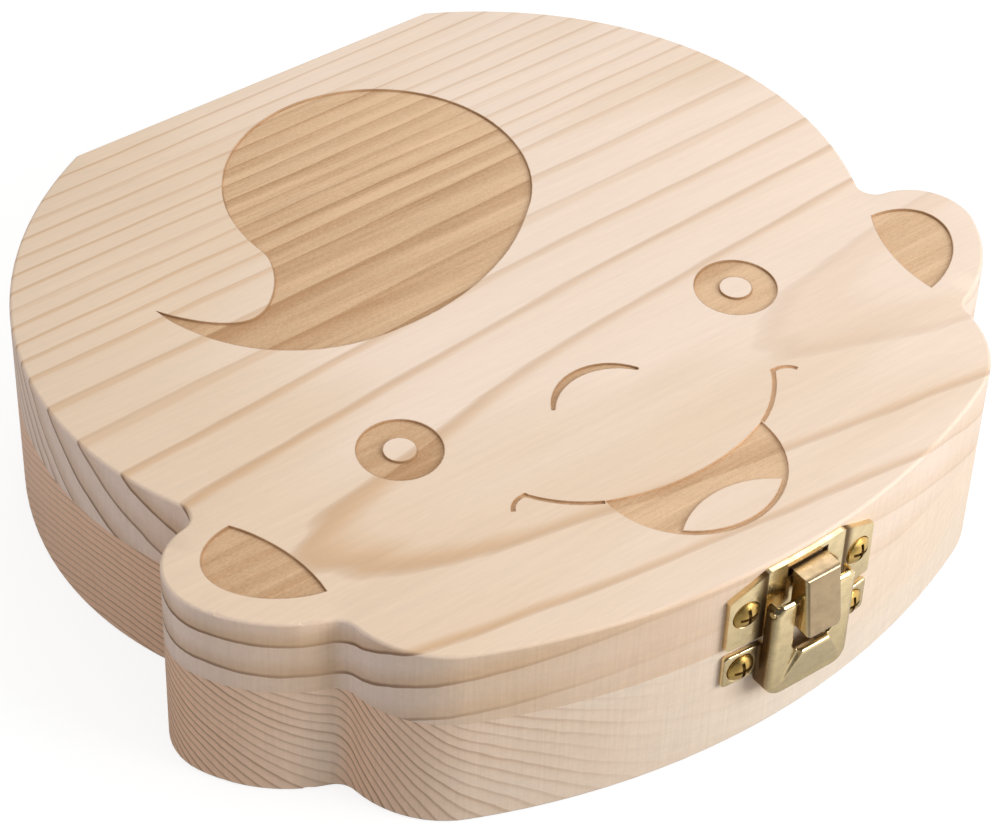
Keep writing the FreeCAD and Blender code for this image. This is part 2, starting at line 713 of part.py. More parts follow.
def latch_plate():
    """The base's plate: two screw tabs and the shield between them, with a rolled lip under the mouth."""
    plate = shield().fuse(scoop())
    for side in SIDES.values():
        inner = side * (SHIELD_HALF - SHIELD_T)
        outer = side * STRIKE_HALF
        outline = [(inner, TAB_BOTTOM), (outer, TAB_BOTTOM), (outer, TAB_TOP), (inner, TAB_TOP)]
        tab = seat_prism(outline, -SEAT_REACH, SEAT_REACH)
        end_x = LATCH_X + outer
        corners = [edge for edge in edges_along(tab, FRONT) if abs(edge.CenterOfMass.x - end_x) < TOLERANCE]
        plate = plate.fuse(chin_plate(tab.makeFillet(TAB_CORNER_R, corners)))
    lip_half = MOUTH_HALF - MOUTH_CORNER_R / 2
    lip = seat_point(-lip_half, SHIELD_FRONT + SCOOP_PROUD - LIP_BEAD_R, MOUTH_BOTTOM)
    plate = plate.fuse(rod(LIP_BEAD_R, lip, Vector(2 * lip_half, 0, 0)))
    bore = seat_point(-SHIELD_HALF - OVERCUT, PIVOT_PROUD, PIVOT_Z)
    plate = plate.cut(rod(LATCH_PIN_R + PIN_CLEARANCE, bore, Vector(2 * (SHIELD_HALF + OVERCUT), 0, 0)))
    for place, way in latch_screw_seats(TAB_SCREW_Z):
        plate = plate.cut(latch_screw_hole(place, way))
    return plate.removeSplitter()


def lever_front(z):
    """How far the lever's sloping face stands proud at one height."""
    return LEVER_FRONT + LEVER_LEAN * (LEVER_TOP - z)


def latch_lever():
    """The rocking lever: a folded channel with a hook at its top and a thumb end at its foot."""
    tip = HOOK_TIP_GAP
    foot = lever_front(LEVER_BOTTOM)
    lever = side_prism(LEVER_HALF, [
        (LEVER_FRONT, LEVER_TOP),
        (tip + HOOK_RAMP, LEVER_TOP),
        (tip, LEVER_TOP - HOOK_RAMP),
        (tip, HOOK_BOTTOM),
        (LEVER_BACK, HOOK_BOTTOM),
        (LEVER_BACK, PIVOT_Z - LEVER_HEEL),
        (foot - LEVER_TAIL_DEPTH, LEVER_BOTTOM),
        (foot, LEVER_BOTTOM),
    ])
    lever = lever.makeFillet(LEVER_CORNER_R, lowest_edges(lever, FRONT, 2))
    face = min(lever.Faces, key=lambda side: side.normalAt(0, 0).y)
    lever = lever.makeFillet(LEVER_ROUND, face.Edges)
    low = LEVER_BOTTOM - OVERCUT
    lever = lever.cut(side_prism(LEVER_HALF - LEVER_T, [
        (0, HOOK_BOTTOM),
        (lever_front(HOOK_BOTTOM) - LEVER_T, HOOK_BOTTOM),
        (lever_front(low) - LEVER_T, low),
        (0, low),
    ]))
    bore = seat_point(-LEVER_W, PIVOT_PROUD, PIVOT_Z)
    return lever.cut(rod(LATCH_PIN_R + PIN_CLEARANCE, bore, Vector(2 * LEVER_W, 0, 0)))


def latch_pin():
    """The lever's pin, its ends flush with the shield's sides."""
    start = seat_point(-SHIELD_HALF, PIVOT_PROUD, PIVOT_Z)
    return rod(LATCH_PIN_R, start, Vector(2 * SHIELD_HALF, 0, 0))


def bend(first, first_way, last, last_way):
    """Two tangent arcs from one point and direction to another."""
    span = last - first
    ways = first_way + last_way
    fold = 2 * (1 - first_way.dot(last_way))
    pull = span.dot(ways)
    reach = (math.sqrt(pull ** 2 + fold * span.dot(span)) - pull) / fold
    knee = first + first_way * reach
    heel = last - last_way * reach
    joint = halfway(knee, heel)
    arcs = []
    for start, corner, end in ((first, knee, joint), (joint, heel, last)):
        middle = halfway(start, end)
        half = (end - start).Length / 2
        lift = (corner - middle).Length
        rise = half * math.tan(math.atan2(lift, half) / 2)
        arcs.append(arc(start, middle + (corner - middle).normalize() * rise, end))
    return arcs


def latch_spring():
    """A coil round the lever's pin, one leg behind the lever's face and one against the base."""
    mean_r = LATCH_PIN_R + SPRING_BORE_GAP + SPRING_WIRE_R
    start = math.radians(SPRING_FRONT_DEG)
    end = math.radians(180 - SPRING_BACK_DEG + 360 * SPRING_TURNS)
    steps = math.ceil((end - start) / math.radians(90))
    length = SPRING_PITCH * (end - start) / (2 * math.pi)
    climb = SPRING_PITCH / (2 * math.pi)
    points = []
    ways = []
    for count in range(steps + 1):
        angle = start + (end - start) * count / steps
        across = length * (count / steps - 0.5)
        proud = mean_r * math.cos(angle)
        rise = mean_r * math.sin(angle)
        points.append(seat_point(across, PIVOT_PROUD + proud, PIVOT_Z + rise))
        ways.append(Vector(climb, rise, proud).normalize())
    foot = points[0] - ways[0] * SPRING_FRONT_LEG
    heel = points[-1] + ways[-1] * SPRING_BACK_LEG
    edges = [Part.makeLine(foot, points[0])]
    for count in range(steps):
        edges += bend(points[count], ways[count], points[count + 1], ways[count + 1])
    edges.append(Part.makeLine(points[-1], heel))
    path = Part.Wire(edges)
    profile = Part.Wire(Part.Circle(foot, ways[0], SPRING_WIRE_R).toShape())
    spring = path.makePipeShell([profile], True, False)
    print("spring gap to itself", round(least_gap(path), 3), "mm")
    return spring


def least_gap(path):
    """The least clear distance between parts of the spring's wire that lie half a turn or more apart."""
    points = path.discretize(GAP_SAMPLES)
    spacing = path.Length / (GAP_SAMPLES - 1)
    apart = math.ceil(math.pi * (LATCH_PIN_R + SPRING_BORE_GAP + SPRING_WIRE_R) / spacing)
    least = path.Length
    for first in range(GAP_SAMPLES):
        for second in range(first + apart, GAP_SAMPLES):
            least = min(least, points[first].distanceToPoint(points[second]))
    return least - 2 * SPRING_WIRE_R


def base_block():
    """The pine base with its wells and screw holes."""
    cutters = wells() + [latch_screw_hole(*seat) for seat in latch_screw_seats(TAB_SCREW_Z)]
    for side in SIDES.values():
        cutters += [hinge_screw_hole(place) for place in hinge_screw_places(side, -1)]
    return board(0, BASE_H, 0).cut(cutters)


def lid_board():
    """The pine lid with its engraving and screw holes."""
    cutters = engraving() + [latch_screw_hole(*seat) for seat in latch_screw_seats(STRIKE_SCREW_Z)]
    for side in SIDES.values():
        cutters += [hinge_screw_hole(place) for place in hinge_screw_places(side, 1)]
    return board(BASE_H, LID_T, TOTAL_H).cut(cutters)


def make_parts():
    """Every piece of the box by name."""
    parts = {
        "base_block": base_block(),
        "lid_board": lid_board(),
        "strike_plate": strike_plate(),
        "latch_plate": latch_plate(),
        "latch_lever": latch_lever(),
        "latch_pin": latch_pin(),
        "latch_spring": latch_spring(),
    }
    for name, side, strike, tab in zip(SIDES, SIDES.values(), latch_screw_seats(STRIKE_SCREW_Z),
                                       latch_screw_seats(TAB_SCREW_Z)):
        parts["strike_screw_" + name] = latch_screw(*strike)
        parts["latch_screw_" + name] = latch_screw(*tab)
        parts["hinge_" + name + "_pin"] = hinge_pin(side)
        for leaf_name, leaf in (("base", -1), ("lid", 1)):
            stem = "hinge_" + name + "_" + leaf_name
            parts[stem + "_leaf"] = hinge_leaf(side, leaf)
            for number, place in enumerate(hinge_screw_places(side, leaf), 1):
                parts[stem + "_screw_" + str(number)] = hinge_screw(place)
    return parts


def main():
    """Make the pieces and write one STEP file for each."""
    os.makedirs("parts", exist_ok=True)
    for name, shape in make_parts().items():
        if len(shape.Solids) != 1 or not shape.isValid():
            raise ValueError(name + " is not one valid solid")
        shape.Solids[0].exportStep("parts/" + name + ".step")
        print(name, round(shape.Volume, 2), "mm3")


main()
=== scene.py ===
import json
import math

import bmesh
import bpy
from mathutils import Matrix, Vector


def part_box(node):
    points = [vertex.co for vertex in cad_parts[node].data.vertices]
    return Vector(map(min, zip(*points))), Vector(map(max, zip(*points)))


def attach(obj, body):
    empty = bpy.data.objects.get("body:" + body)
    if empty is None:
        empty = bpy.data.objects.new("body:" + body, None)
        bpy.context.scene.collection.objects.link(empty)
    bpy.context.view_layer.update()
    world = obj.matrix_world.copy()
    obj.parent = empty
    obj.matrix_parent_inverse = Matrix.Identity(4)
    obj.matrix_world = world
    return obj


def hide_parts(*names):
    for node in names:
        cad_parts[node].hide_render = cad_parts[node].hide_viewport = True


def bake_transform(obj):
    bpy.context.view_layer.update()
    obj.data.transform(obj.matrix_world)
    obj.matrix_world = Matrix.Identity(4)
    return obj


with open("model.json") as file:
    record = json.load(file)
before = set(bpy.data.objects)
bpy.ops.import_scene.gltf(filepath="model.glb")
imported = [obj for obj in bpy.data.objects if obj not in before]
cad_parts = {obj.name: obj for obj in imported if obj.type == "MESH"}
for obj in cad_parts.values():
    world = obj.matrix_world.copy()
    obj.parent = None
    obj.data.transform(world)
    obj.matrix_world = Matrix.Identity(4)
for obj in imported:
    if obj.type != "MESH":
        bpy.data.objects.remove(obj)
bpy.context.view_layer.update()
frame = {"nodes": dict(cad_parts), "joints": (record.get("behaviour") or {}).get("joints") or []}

bl_info = {
    "name": "Tooth Box",
    "version": (1, 0, 0),
    "blender": (4, 5, 0),
    "location": "View3D > Sidebar > Tooth Box",
    "description": "Finishes a pine tooth box: boards, engraving, brass latch, hinges and studio",
    "category": "Object",
}

# Places and sizes of the model, in metres
MM = 0.001
LID_LOW, LID_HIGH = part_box("lid_board")
BASE_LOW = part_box("base_block")[0]
JOINTS = {joint["name"]: joint for joint in frame["joints"]}
LATCH_PIVOT = Vector(JOINTS["latch_press"]["pos_m"])
LATCH_X = 3.3 * MM
ENGRAVE_DEPTH = 0.3 * MM
FLOOR_Z = LID_HIGH.z - ENGRAVE_DEPTH
CROSS_DEPTH = 0.5 * MM

# Pieces that come in pairs, with their bodies
SIDES = ("left", "right")
SCREW_BODIES = {"strike_screw": "lid", "latch_screw": "base"}
HINGE_BODIES = {"base": "base", "lid": "lid"}

# Mesh work: a gap that counts as none, angles of real corners and of flat faces, and parts of a normal
SAME = 0.005 * MM
CREASE = math.radians(28)
FLAT = math.radians(0.5)
UPRIGHT = 0.2
SIDEWAYS = 0.7
LEVEL = 0.98
STEEP = 0.5

# Screw heads: shares of the cross's depth and of the head's radius
CROSS_FLOOR = 0.7
CROSS_UNDER = 1.5
CROSS_WIDTH = 0.7
HEAD_RIM = 0.98

# Scorched lines: share of a floor's area over its border, and how a line that folded is drawn back
FRINGE_SHARE = 0.1
BACK_SHARE = 0.3
BACK_PASSES = 4

# Spring: steps of the coil and sides of the wire
COIL_STEPS = 96
WIRE_SIDES = 10

# Studio, in metres: side from which the brass sees a bright room, lights, floor and camera
BRIGHT_SIDE = (0.8, 0.6, 0.0)
ROOM_RUN = (0.0, 0.6)
KEY_PLACE = (0.34, -0.50, 0.27)
KEY_WIDTH = 0.36
SHEEN_PLACE = (0.42, 0.52, 0.62)
SHEEN_WIDTH = 0.35
FLOOR_REACH = 3.0
FLOOR_SIDE_RUN = (-72 * MM, -36 * MM)
# Painted shadow: the floor's glow in mirrors dims near the box
FLOOR_SHADOW_RUN = (64 * MM, 88 * MM, 0.3, 1.0)
FLOOR_LIT = 0.75
NEAREST = 0.01

# Photograph frame
IMAGE_WIDTH = 991
SENSOR_MM = 36.0


def colour_property(label, words, default):
    """A colour that a user can change."""
    return bpy.props.FloatVectorProperty(name=label, description=words, default=default,
                                         subtype="COLOR", size=3, min=0.0, max=1.0)


def length_property(label, words, default):
    """A length that a user can change."""
    return bpy.props.FloatProperty(name=label, description=words, default=default,
                                   unit="LENGTH", precision=5)


def number_property(label, words, default):
    """A plain number that a user can change."""
    return bpy.props.FloatProperty(name=label, description=words, default=default, precision=4)


def angle_property(label, words, degrees):
    """An angle that a user can change."""
    return bpy.props.FloatProperty(name=label, description=words, default=math.radians(degrees),
                                   subtype="ANGLE")


class LidWood(bpy.types.PropertyGroup):
    """Colours and growth rings of the lid's board."""
    pale: colour_property("Early wood", "Pale wood between the ring lines", (0.855, 0.69, 0.56))
    warm: colour_property("Warm wood", "Pinker patches of the pale wood", (0.78, 0.60, 0.44))
    band: colour_property("Late wood", "Tan wood at the end of each ring", (0.65, 0.41, 0.225))
    line: colour_property("Ring line", "Dark line that closes each ring", (0.27, 0.145, 0.085))
    line_width: length_property("Line width", "Width of that line", 0.75 * MM)
    wall_bands: number_property("Wall bands", "Strength of the bands on the walls", 0.7)
    side_lines: number_property("Side lines", "Strength of the ring lines along the grain", 0.12)
    fade: number_property("Fade", "Share of the ring lines that is lost at the right end", 0.62)
    rear_fade: number_property("Rear fade", "Share of the ring lines that is lost at the rear", 0.0)
    left_tan: number_property("Left tan", "Strength of the late wood on the left of the front wall", 0.45)
    end: colour_property("End grain", "Colour where the grain is cut across", (0.70, 0.605, 0.535))
    # Painted light: a lighter colour for the end grain at the left end, standing in for the extra light on
    # those walls
    left_end: colour_property("Lit left end", "Colour of the end grain at the left end", (0.96, 0.75, 0.64))
    pith_y: length_property("Heart depth", "Place of the tree's heart along Y", -27.5 * MM)
    pith_z: length_property("Heart height", "Place of the tree's heart along Z", 60.0 * MM)
    drift: number_property("Drift", "Sideways run of the heart along X", -0.02)
    lean: number_property("Lean", "Fall of the heart along X", -0.079)
    first: length_property("First ring", "Radius at which one year's growth ends", 33.7 * MM)
    ring: length_property("Ring width", "Width of one year's growth", 5.2 * MM)
    knee: length_property("Narrowing radius", "Radius past which the rings are narrow", 59.0 * MM)
    tighten: number_property("Narrowing", "Extra rings in each millimetre past that radius", 0.178)
    wander: number_property("Wander", "How far the ring lines wander", 1.0)
    years: number_property("Years", "Which run of good and bad years the rings show", 1403.0)


class BaseWood(bpy.types.PropertyGroup):
    """Colours and growth rings of the base's block."""
    pale: colour_property("Early wood", "Pale wood between the ring lines", (0.835, 0.715, 0.585))
    warm: colour_property("Warm wood", "Pinker patches of the pale wood", (0.835, 0.66, 0.51))
    band: colour_property("Late wood", "Tan wood at the end of each ring", (0.62, 0.41, 0.265))
    line: colour_property("Ring line", "Dark line that closes each ring", (0.40, 0.245, 0.15))
    line_width: length_property("Line width", "Width of that line", 0.38 * MM)
    wall_bands: number_property("Wall bands", "Strength of the bands on the walls", 0.38)
    side_lines: number_property("Side lines", "Strength of the ring lines along the grain", 0.18)
    fade: number_property("Fade", "Share of the ring lines that is lost at the right end", 0.9)
    rear_fade: number_property("Rear fade", "Share of the ring lines that is lost at the rear", 0.6)
    left_tan: number_property("Left tan", "Strength of the late wood on the left of the front wall", 0.06)
    end: colour_property("End grain", "Colour where the grain is cut across", (0.765, 0.59, 0.455))
    # Painted light: a lighter, warmer colour for the end grain at the left end, standing in for warm light
    # on those walls
    left_end: colour_property("Lit left end", "Colour of the end grain at the left end", (0.97, 0.625, 0.435))
    pith_y: length_property("Heart depth", "Place of the tree's heart along Y", 5.0 * MM)
    pith_z: length_property("Heart height", "Place of the tree's heart along Z", -25.0 * MM)
    drift: number_property("Drift", "Sideways run of the heart along X", 0.03)
    lean: number_property("Lean", "Fall of the heart along X", 0.02)
    first: length_property("First ring", "Radius at which one year's growth ends", 0.0)
    ring: length_property("Ring width", "Width of one year's growth", 1.2 * MM)
    knee: length_property("Narrowing radius", "Radius past which the rings are narrow", 200.0 * MM)
    tighten: number_property("Narrowing", "Extra rings in each millimetre past that radius", 0.0)
    wander: number_property("Wander", "How far the ring lines wander", 0.6)
    years: number_property("Years", "Which run of good and bad years the rings show", 0.0)


class Engraving(bpy.types.PropertyGroup):
    """The burnt face and hair in the lid."""
    tan: colour_property("Burnt floor", "Colour of the engraved floor", (0.745, 0.51, 0.315))
    streak: colour_property("Burnt streak", "Darker streaks of the engraved floor", (0.47, 0.265, 0.13))
    scorch: colour_property("Scorch", "Colour of the engraving's edge", (0.40, 0.235, 0.12))
    floor_fringe: length_property("Floor fringe", "Width of the scorched line on the floor", 0.24 * MM)
    top_fringe: length_property("Top fringe", "Width of the scorched line on the top", 0.16 * MM)


class Hardware(bpy.types.PropertyGroup):
    """Colours and edges of the metal pieces."""
    brass: colour_property("Brass", "Colour of the plates and the hinges", (0.87, 0.69, 0.39))
    # Painted shade: darker brass for the lever's front faces, standing in for the dim reflection there; its
    # sides keep the plain brass
    lever: colour_property("Worn brass", "Colour of the lever", (0.47, 0.345, 0.205))
    screw: colour_property("Screw brass", "Colour of the screws", (0.70, 0.46, 0.14))
    # Painted shade: a darker colour in a screw's cross, standing in for the shade in its recess
    recess: colour_property("Screw recess", "Colour of the dirt in a screw's cross", (0.28, 0.17, 0.06))
    # Painted shade: dark brass put beside the latch's shield and in the strike's slot, where shade and dim
    # reflections fall
    tarnish: colour_property("Corner shade", "Colour of the brass in the latch's corners", (0.16, 0.095, 0.04))
    steel: colour_property("Steel", "Colour of the spring wire", (0.55, 0.55, 0.53))
    plate_edge: length_property("Plate edge", "Rounding of a stamped edge", 0.12 * MM)
    lever_edge: length_property("Lever edge", "Rounding of the lever's edges", 0.4 * MM)
    screw_edge: length_property("Screw edge", "Rounding of a screw's edges", 0.05 * MM)
    cast_cell: length_property("Cast cell", "Cell of the latch plate's mesh", 0.12 * MM)
    cast_passes: bpy.props.IntProperty(name="Cast passes", description="Smoothing of the latch plate",
                                       default=16)
    screw_rim: length_property("Screw rim", "Rounding of a screw head's rim", 0.36 * MM)


class Spring(bpy.types.PropertyGroup):
    """Sizes of the latch spring."""
    coil: length_property("Coil radius", "Radius of the coil's middle line", 0.76 * MM)
    wire: length_property("Wire radius", "Radius of the wire", 0.16 * MM)
    pitch: length_property("Pitch", "Rise of one turn", 0.75 * MM)
    front: angle_property("Front angle", "Where the coil starts, from straight ahead", 16.0)
    sweep: angle_property("Sweep", "How far the coil turns", 878.3)
    front_leg: length_property("Front leg", "Length of the leg behind the lever", 4.4 * MM)
    back_leg: length_property("Back leg", "Length of the leg against the base", 11.0 * MM)


class Studio(bpy.types.PropertyGroup):
    """Camera, lights and floor."""
    floor: colour_property("Floor", "Colour of the floor", (0.26, 0.26, 0.26))
    ambient: number_property("Room light", "Strength of the room's plain light", 0.71)
    shade: number_property("Shade", "How bright the left of the room looks in the brass", 0.08)
    key_power: bpy.props.FloatProperty(name="Key light", description="Power of the window light",
                                       default=3.15, unit="POWER")
    sheen_power: bpy.props.FloatProperty(name="Sheen light", default=0.8, unit="POWER",
                                         description="Power of the panel that the brass mirrors")
    azimuth: angle_property("Azimuth", "Camera's turn about the box", -38.31)
    elevation: angle_property("Elevation", "Camera's height above the horizon", 42.70)
    roll: angle_property("Roll", "Camera's turn about its own axis", 2.28)
    distance: length_property("Distance", "From the camera to the point it looks at", 416.0 * MM)
    look: bpy.props.FloatVectorProperty(name="Look", description="Point that the camera looks at",
                                        default=(-13.65 * MM, -17.44 * MM, 30.0 * MM),
                                        subtype="TRANSLATION", size=3, precision=5)
    focal_pixels: number_property("Focal pixels", "Focal length in pixels of the photograph", 3266.0)


class ToothBox(bpy.types.PropertyGroup):
    """All settings of the box."""
    lid: bpy.props.PointerProperty(type=LidWood)
    base: bpy.props.PointerProperty(type=BaseWood)
    engraving: bpy.props.PointerProperty(type=Engraving)
    hardware: bpy.props.PointerProperty(type=Hardware)
    spring: bpy.props.PointerProperty(type=Spring)
    studio: bpy.props.PointerProperty(type=Studio)


def settings():
    """The scene's own copy of the settings."""
    return bpy.context.scene.tooth_box


# Grains of the patterns: repeats in a millimetre along X, Y and Z
SWAY_GRAIN = (0.009, 0.03, 0.03)
RIPPLE_GRAIN = (0.04, 0.22, 0.22)
FIBRE_GRAIN = (0.35, 9.0, 9.0)
STREAK_GRAIN = (0.06, 1.3, 1.3)
CUTTER_GRAIN = (2.2, 2.2, 0.12)
PATCH_GRAIN = (0.012, 0.05, 0.05)
TEETH_GRAIN = (1.6, 6.0, 1.0)
HEAT_GRAIN = (0.09, 0.14, 0.1)
PASS_GRAIN = (0.10, 4.2, 1.0)
SWATHE_GRAIN = (0.02, 0.45, 0.3)
FLECK_GRAIN = (0.45, 5.5, 1.0)
GRIT_GRAIN = (2.2, 5.0, 2.2)
SCRATCH_GRAIN = (0.5, 14.0, 14.0)
SCRATCH_TURN = (0.3, 0.9, 0.5)
SMEAR_SCALE = 0.55
DENT_SCALE = 0.9

# Growth rings: wander in millimetres, shares of one year, and the least depth of each mark
SWAY_REACH = 2.4
RIPPLE_REACH = 0.9
BAND_BEGIN = (0.2, 0.6)
BAND_RISE = 0.12
BAND_FALL = (1.0, 0.93)
LINE_RISE = 0.6
LINE_FALL = (1.0, 0.975)
SOFT_RISE = (0.3, 0.95)
RING_DEPTHS = {"Band": 0.35, "Line": 0.6, "Soft": 0.35}

# Runs along the box in millimetres, some with the values at their two ends
WARM_RUN = (25.0, -60.0, -0.12, 0.22)
WALL_FADE_RUN = (-44.0, -14.0)
REAR_FADE_RUN = (-20.0, 30.0)
# Run over which the painted light on the left end's walls sets in
LEFT_END_LIGHT_RUN = (-25.0, -58.0)
LEFT_TAN_RUN = (12.0, -22.0)
BAND_RUN = (-45.0, 5.0, 0.72, 0.42)
BESIDE_MOUTH_RUN = (28.0, 36.0)
MOUTH_HEAT_RUN = (-33.0, -24.0, 0.3, 1.0)
RING_BURN_RUN = (-25.0, 5.0, 0.2, 0.55)
BURN_RUNS = (
    ("X", (35.0, -50.0, -0.14, 0.28)),
    ("Y", (45.0, 10.0, -0.14, 0.05)),
    ("Y", (-28.0, -42.0, 0.0, -0.17)),
)
FLANK_INNER = (6.2, 6.5)
FLANK_OUTER = (8.2, 6.8)
FLANK_FRONT = (-61.4, -60.3)
SLOT_LOWER = (27.0, 27.15)
SLOT_UPPER = (28.9, 28.75)
SLOT_SIDE = (3.45, 3.3)

# Noise values between which a pattern sets in
PATCH_EDGE = (0.38, 0.68)
HEAT_EDGE = (0.35, 0.65, 0.45, 1.0)
BURN_EDGE = (0.5, 1.15)
NEAR_EDGE = (0.0, 0.2)
SWATHE_EDGE = (0.3, 0.7)
PASS_EDGE = (0.35, 0.75)
FLECK_EDGE = (0.55, 0.8)
SMEAR_EDGE = (0.35, 0.7)
SCRATCH_EDGE = (0.55, 0.75)

# Depth of each pattern in the colour, some with the value that it starts from
END_POWER = 1.5
LEAST_SOFT = 0.08
FIBRE_SHADE = (0.16, 0.92)
STREAK_SHADE = (0.14, 0.93)
CUTTER_SHADE = (0.16, 1.0)
BURNT_SHADE = (0.3, 0.86)
TEETH_DEPTH = 0.8
LINE_BURN = 0.20
SWATHE_BURN = 0.36
PASS_BURN = 0.18
GRIT_BURN = 0.9
FLECK_BURN = (0.45, 0.10)
DULL_SHARE = 0.72

# Roughness that a pattern adds, and its height in the bump
PINE_ROUGHNESS = (0.15, 0.52)
RUBBED_ROUGHNESS = 0.10
CORNER_SHADE_ROUGHNESS = 0.25
FIBRE_HEIGHT = 0.5
CUTTER_HEIGHT = 1.2
LINE_HEIGHT = 0.35
BURNT_FIBRE_HEIGHT = 0.6
SCRATCH_HEIGHT = -0.15

# Metal finishes: colour setting, roughness, depth of the smears and depth of the dents
METALS = {
    "polished_brass": ("brass", 0.16, 0.5, 0.12),
    "plate_brass": ("brass", 0.16, 0.5, 0.12),
    # Painted shade: darker brass for the lever's front faces
    "worn_brass": ("lever", 0.26, 0.4, 0.10),
    "gilt_screw": ("screw", 0.24, 0.6, 0.15),
    # Painted shade in the screws' crosses
    "screw_dirt": ("recess", 0.55, 0.5, 0.05),
    "wire_steel": ("steel", 0.28, 0.5, 0.05),
}
# Finishes that get the painted shade in the latch's corners
CORNER_SHADED = ("plate_brass",)


# Node helpers

def put(tree, kind, inputs=None, **options):
    """Add a node, set its options, and set or join its inputs."""
    node = tree.nodes.new(kind)
    for key, value in options.items():
        setattr(node, key, value)
    for key, value in (inputs or {}).items():
        if isinstance(value, bpy.types.NodeSocket):
            tree.links.new(value, node.inputs[key])
        else:
            node.inputs[key].default_value = value
    return node


def calc(tree, operation, first, second=0.0, third=0.0):
    """The result of one step of arithmetic."""
    return put(tree, "ShaderNodeMath", {0: first, 1: second, 2: third}, operation=operation).outputs[0]


def times(tree, first, second):
    """One value times another."""
    return calc(tree, "MULTIPLY", first, second)


def scaled(tree, value, factor, offset):
    """A value times a factor, plus an offset."""
    return calc(tree, "MULTIPLY_ADD", value, factor, offset)


def mixed(tree, amount, first, second, mode="MIX"):
    """The mix of two colours by an amount."""
    node = put(tree, "ShaderNodeMix", {0: amount, 6: first, 7: second}, data_type="RGBA", blend_type=mode)
    return node.outputs[2]


def shaded(tree, colour, shade):
    """A colour made lighter or darker by one value."""
    tint = put(tree, "ShaderNodeCombineColor", {0: shade, 1: shade, 2: shade}).outputs[0]
    return mixed(tree, 1.0, colour, tint, "MULTIPLY")


def stretched(tree, place, factors):
    """A place with each axis scaled."""
    return put(tree, "ShaderNodeVectorMath", {0: place, 1: factors}, operation="MULTIPLY").outputs[0]


def axes_of(tree, place):
    """The X, Y and Z of a place."""
    return put(tree, "ShaderNodeSeparateXYZ", {0: place}).outputs


def noise(tree, place, scale, detail=2.0, roughness=0.5):
    """Soft random values about a half."""
    inputs = {"Vector": place, "Scale": scale, "Detail": detail, "Roughness": roughness}
    return put(tree, "ShaderNodeTexNoise", inputs).outputs["Fac"]


def grained(tree, place, grain, detail=2.0, roughness=0.5):
    """Soft random values that are drawn out along an axis."""
    return noise(tree, stretched(tree, place, grain), 1.0, detail, roughness)


def eased(tree, value, low, high, start=0.0, end=1.0):
    """A value carried smoothly from one range to another."""
    inputs = {"Value": value, "From Min": low, "From Max": high, "To Min": start, "To Max": end}
    return put(tree, "ShaderNodeMapRange", inputs, interpolation_type="SMOOTHSTEP").outputs[0]


def opaque(colour):
    """A colour with its alpha."""
    return (colour[0], colour[1], colour[2], 1.0)


def bumped(tree, shader, height, strength, distance):
    """Let a shader show a height as fine relief."""
    inputs = {"Strength": strength, "Distance": distance, "Height": height}
    tree.links.new(put(tree, "ShaderNodeBump", inputs).outputs[0], shader.inputs["Normal"])


def kept(store, name, make, *values):
    """A material or a shader group by name, made the first time it is asked for."""
    return store[name] if name in store else make(name, *values)


def new_group(name, inputs, outputs):
    """An empty shader group with named sockets, its inner inputs and its inner outputs."""
    group = bpy.data.node_groups.new(name, "ShaderNodeTree")
    for label, kind in inputs:
        group.interface.new_socket(label, in_out="INPUT", socket_type="NodeSocket" + kind)
    for label in outputs:
        group.interface.new_socket(label, in_out="OUTPUT", socket_type="NodeSocketFloat")
    start = group.nodes.new("NodeGroupInput")
    end = group.nodes.new("NodeGroupOutput")
    return group, start.outputs, end.inputs


def join_all(tree, values, sockets):
    """Join values to the sockets that have their names."""
    for label, value in values.items():
        tree.links.new(value, sockets[label])


def rings_group(name):
    """Growth rings about a leaning heart line: a band of late wood with a dark line at its outer edge."""
    numbers = ("Heart Y", "Heart Z", "Drift", "Lean", "First", "Ring", "Knee", "Tighten", "Wander", "Years",
               "Line Width")
    inputs = [("Place", "Vector")] + [(label, "Float") for label in numbers]
    tree, given, made = new_group(name, inputs, RING_DEPTHS)
    place = given["Place"]
    axes = axes_of(tree, place)
    sway = calc(tree, "SUBTRACT", grained(tree, place, SWAY_GRAIN, 1.0), 0.5)
    ripple = calc(tree, "SUBTRACT", grained(tree, place, RIPPLE_GRAIN), 0.5)
    heart_y = scaled(tree, axes["X"], given["Drift"], given["Heart Y"])
    heart_z = scaled(tree, axes["X"], given["Lean"], given["Heart Z"])
    off_y = calc(tree, "SUBTRACT", axes["Y"], heart_y)
    off_z = calc(tree, "SUBTRACT", axes["Z"], heart_z)
    square = scaled(tree, off_y, off_y, times(tree, off_z, off_z))
    shift = scaled(tree, sway, SWAY_REACH, times(tree, ripple, RIPPLE_REACH))
    radius = scaled(tree, shift, given["Wander"], calc(tree, "SQRT", square))
    past = calc(tree, "MAXIMUM", calc(tree, "SUBTRACT", radius, given["Knee"]), 0.0)
    wide = calc(tree, "DIVIDE", calc(tree, "SUBTRACT", radius, given["First"]), given["Ring"])
    year = scaled(tree, past, given["Tighten"], wide)
    part = calc(tree, "FRACT", year)
    whole = calc(tree, "ADD", calc(tree, "FLOOR", year), given["Years"])
    luck = put(tree, "ShaderNodeTexWhiteNoise", {"W": whole}, noise_dimensions="1D").outputs[0]
    begin = scaled(tree, luck, *BAND_BEGIN)
    rise = eased(tree, part, begin, calc(tree, "ADD", begin, BAND_RISE))
    thin = calc(tree, "DIVIDE", given["Line Width"], given["Ring"])
    start = calc(tree, "SUBTRACT", 1.0, thin)
    full = scaled(tree, thin, LINE_RISE, start)
    fall = eased(tree, part, *LINE_FALL)
    marks = {
        "Band": times(tree, rise, eased(tree, part, *BAND_FALL)),
        "Line": times(tree, eased(tree, part, start, full), fall),
        "Soft": times(tree, eased(tree, part, *SOFT_RISE), fall),
    }
    for label, least in RING_DEPTHS.items():
        marks[label] = times(tree, marks[label], scaled(tree, luck, 1.0 - least, least))
    join_all(tree, marks, made)
    return tree


